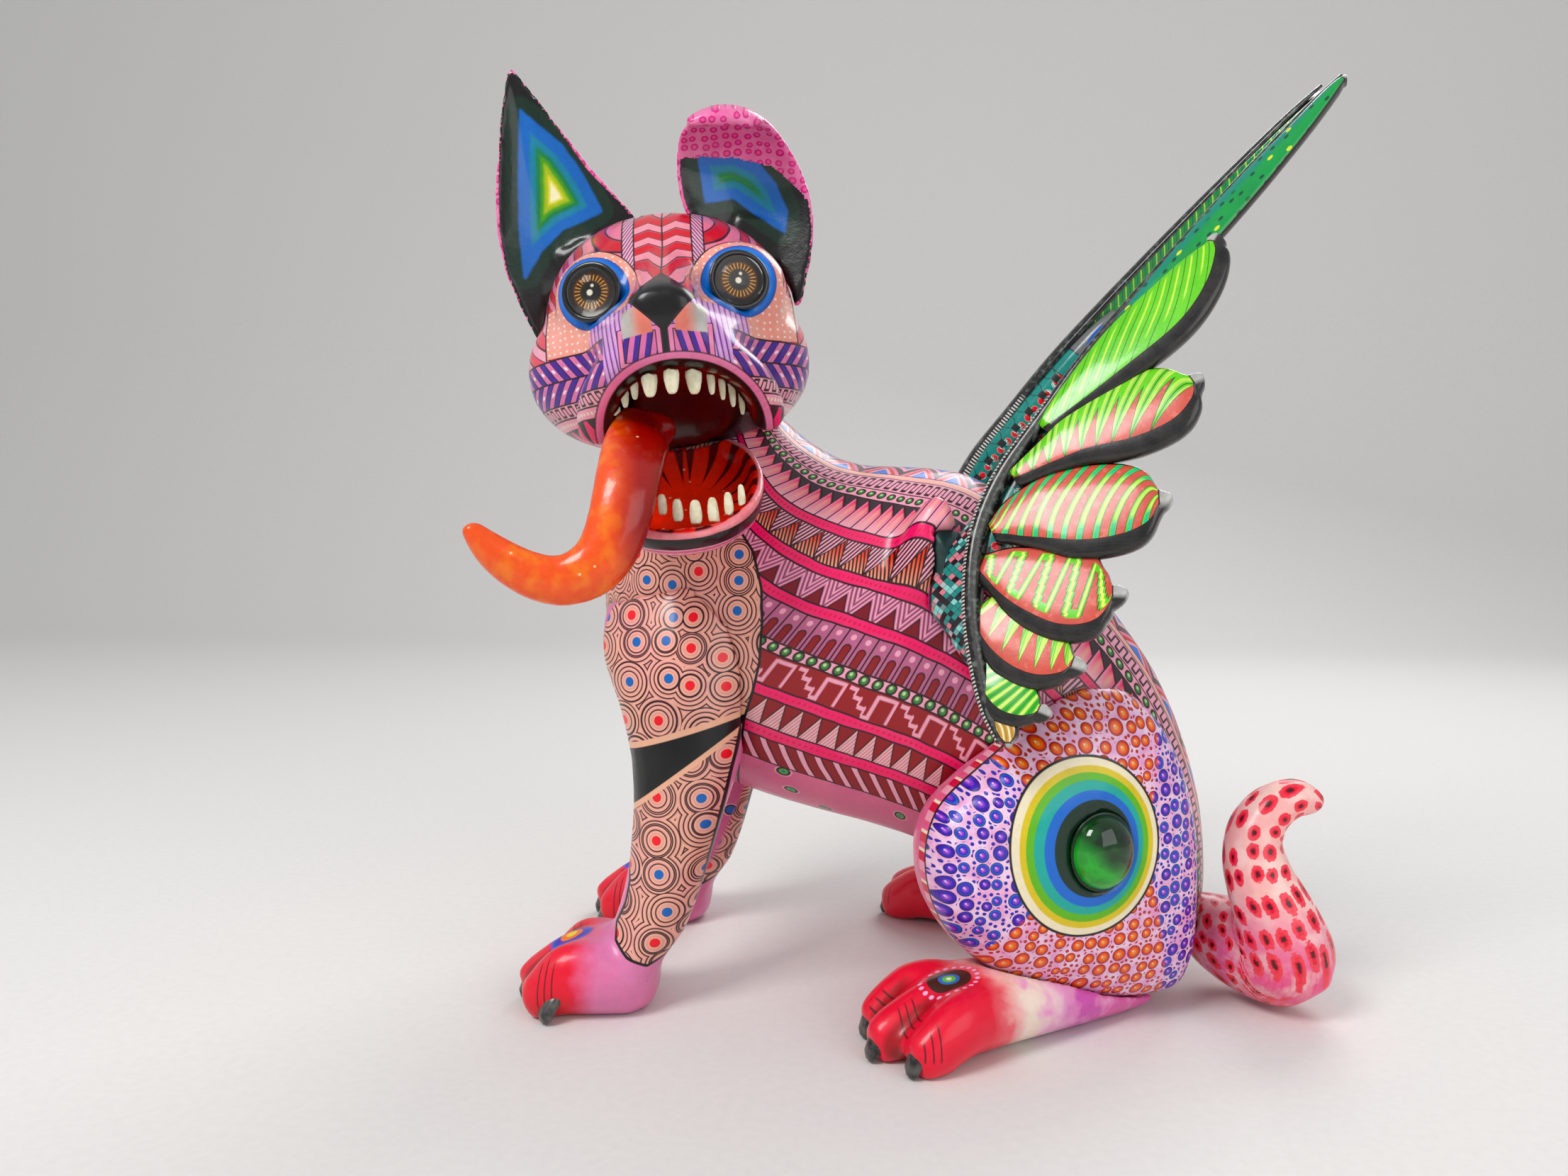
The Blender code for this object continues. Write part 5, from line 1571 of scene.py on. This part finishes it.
RIM = [  # chord, up, outward, half width, half depth of the band that the feathers grow from
    (13, -52, 0, 1.4, 2), (8.5, -43, 0, 2.4, 3), (4.6, -30, 0.2, 3, 4),
    (1.6, -16, 0.4, 3.2, 4.6), (0.4, 0, 0.2, 3.2, 5), (1.8, 14, 0, 3.3, 5),
    (7, 29, 0, 3.2, 4.8), (17, 47, 0, 2.6, 4), (29, 68, 0.3, 1.9, 3.4), (43, 89, 0.6, 1.5, 2.8),
    (66, 122, 0.6, 1.2, 2.2), (88, 153, 0.6, 0.9, 1.6), (98, 166, 0.6, 0.5, 0.9),
]


def rim_shape(name, place, table, stretch=None):
    """A flattened bar along the wing, marked with its length and its width."""
    rows = spline(table, 7)
    ways, lengths = along_path(rows[:, :2])
    loops, marks = [], []
    for row, way, at in zip(rows, ways, lengths):
        side = np.array([way[1], -way[0]])
        loop = []
        for angle in turns(24):
            s = blunt(math.cos(angle), 0.9)
            q = row[:2] + side * s * row[3]
            loop.append(place(q[0], q[1], row[2] + row[4] * math.sin(angle)))
            marks.append((at, s * (stretch or row[3]), math.sin(angle)))
        loops.append(loop)
    band = lathe_like(name, loops)
    write(band, "quill", np.array(marks + [(0, 0, 0), (lengths[-1], 0, 0)]))
    return band


BOSS = [  # chord of the section, low up, high up, outward, half depth
    (-14.6, -9.5, -3, -7.5, 2.4), (-13.6, -13.5, 0.5, -7, 3.8), (-11, -16, 5, -6, 4.4),
    (-7.5, -20, 10, -4.6, 4.6), (-3.5, -25, 14.5, -2.6, 4.6), (0, -29, 19, -1, 4.4),
    (2.4, -31, 22, 0, 4),
]


def boss_shape(name, place):
    rows = spline(BOSS, 6)
    loops, marks = [], []
    for k, (c, low, high, w, deep) in enumerate(rows):
        loop = []
        for angle in turns(40):
            u = (low + high) / 2 + (high - low) / 2 * math.cos(angle)
            loop.append(place(c, u, w + deep * math.sin(angle)))
            marks.append((u, c + deep * math.sin(angle), k / (len(rows) - 1)))
        loops.append(loop)
    boss = lathe_like(name, loops)
    write(boss, "boss", np.array(marks + [(0, rows[0][0], 0), (0, rows[-1][0], 1)]))
    return boss


ARM = [  # the inner side of the wing's arm: chord, up, outward, half width, half depth
    (3, -6, -2.6, 2.4, 2.4), (3.6, 4, -3.4, 4.4, 4), (6.4, 16, -4, 5.4, 4.8),
    (12.5, 31, -4.4, 5.6, 4.8), (20, 43, -4.6, 5.6, 4.8), (28.5, 57, -4.6, 5.4, 4.6),
    (37, 71, -4.2, 4.8, 4.2), (43, 80.5, -3.4, 3.6, 3.4), (47, 87, -2.6, 1.6, 2),
]


def arm_finish(word):
    sheet = Sheet("painted_arm_" + word)
    t, s, _ = sheet.coords("quill")
    teal = sheet.mottled("2aa093", "1a6f68", 7)
    a = (t + s * 1.1).saw(7.4)
    b = (t - s * 1.1).saw(7.4)
    cell_t = (t.saw(3.7) - 0.5) * 3.7
    near = length(cell_t, abs(s) - 2.3)
    lot = sheet.cells(sheet.vector(t, s), 3.7, 0.1)
    ring = levels(near, "1c7f78", (0.35, "eef2ec"), (0.75, "1c7f78"), (1, "eef2ec"), (1.2, teal),
        soft=0.12)
    red = levels(near, "e0474c", (1.1, "f08a86"), (1.35, teal), soft=0.15)
    motif = over(ring, red, lot[2].above(0.5, 0.02))
    diamond = (abs(a - 0.5) + abs(b - 0.5)).below(0.34, 0.03)
    scaled = layers(motif, ("1b2a2a", diamond), (INK, a.near(0.5, 0.035, 0.02)),
        (INK, b.near(0.5, 0.035, 0.02)), (INK, abs(s).below(0.16, 0.1)))
    plain = layers(teal, ("0f3f3c", (t * 0.3 + s).saw(1).near(0.5, 0.16, 0.1) * s.above(0.5, 0.5)))
    colour = over(scaled, plain, t.above(76, 0.3))
    d = sheet.op("SQRT", (t - 93) * (t - 93) * 0.22 + s * s * 1.3)
    lozenge = levels(d, "f0e25a", (0.9, "5fb83a"), (1.7, "1c8f9c"), (2.4, "1a5fc0"),
        (3.3, "6d6f70"), soft=0.2)
    colour = layers(colour, (lozenge, t.above(85, 0.3)), (INK, t.near(85, 0.35, 0.2)),
        (INK, t.near(76, 0.3, 0.2)))
    return sheet.done(colour, 0.26, 0.7)


def wood_finish(name):
    sheet = Sheet(name)
    x, y, _ = sheet.place_xyz()
    ring = (length(x - 15, y) + sheet.noise(12) * 2).saw(1.6)
    colour = layers(sheet.mottled("d9b88a", "c79f6b", 7), ("b5895a",
        ring.near(0.5, 0.16, 0.14) * 0.6))
    return sheet.done(colour, 0.6, 0.1)


def tenon_finish():
    """Bare wood in the socket, dark paint on the end that can be seen beside the wing."""
    sheet = Sheet("wing_tenon_paint")
    along, _, _ = sheet.coords("along")
    x, _, z = sheet.place_xyz()
    grain = (x * 0.8 + z * 1.7 + sheet.noise(10) * 2).saw(1.4)
    wood = layers(sheet.mottled("d9b88a", "c79f6b", 7), ("b5895a",
        grain.near(0.5, 0.16, 0.14) * 0.6))
    edge = along + (sheet.noise(3) - 0.5) * 1.2
    paint = sheet.mottled(BLACK, "12413f", 2)
    return sheet.done(over(wood, paint, edge.above(TENON_BARE, 0.3)), 0.5, 0.15)


def build_wings():
    bare = tenon_finish()
    for word in SIDES:
        node = "wing_" + word
        place = wing_place(word)
        rim = rim_shape("wing_rim_" + word, place, RIM, 1.3)
        settle(rim, node, rim_finish(word))
        trim_piece(tenon_shape("wing_tenon_" + word, word), node, bare)
        arm = rim_shape("wing_arm_" + word, place, ARM)
        trim_piece(arm, node, arm_finish(word))
        trim_piece(boss_shape("wing_boss_" + word, place), node, boss_finish(word))
        for key in FEATHERS:
            blade, marks, rows, lengths = feather_shape("feather_%d_%s" % (key, word), key, place)
            write(blade, "quill", marks)
            half = np.interp(marks[:, 0], lengths, rows[:, 2])
            end = marks[:, 0] - lengths[-1]
            write(blade, "field", np.column_stack([half, marks[:, 0] / lengths[-1], end]))
            trim_piece(blade, node, feather_finish(key, word))


def build_dowel():
    settle(carved("neck_dowel", 0.5, 2), "neck_dowel", wood_finish("copal_wood"))


build_stage()
build_torso()
claws = claw_finish()
build_front_legs(claws)
build_hind_feet(claws)
build_haunches()
build_tail()
build_head()
build_eyes()
build_ears()
build_wings()
build_dowel()
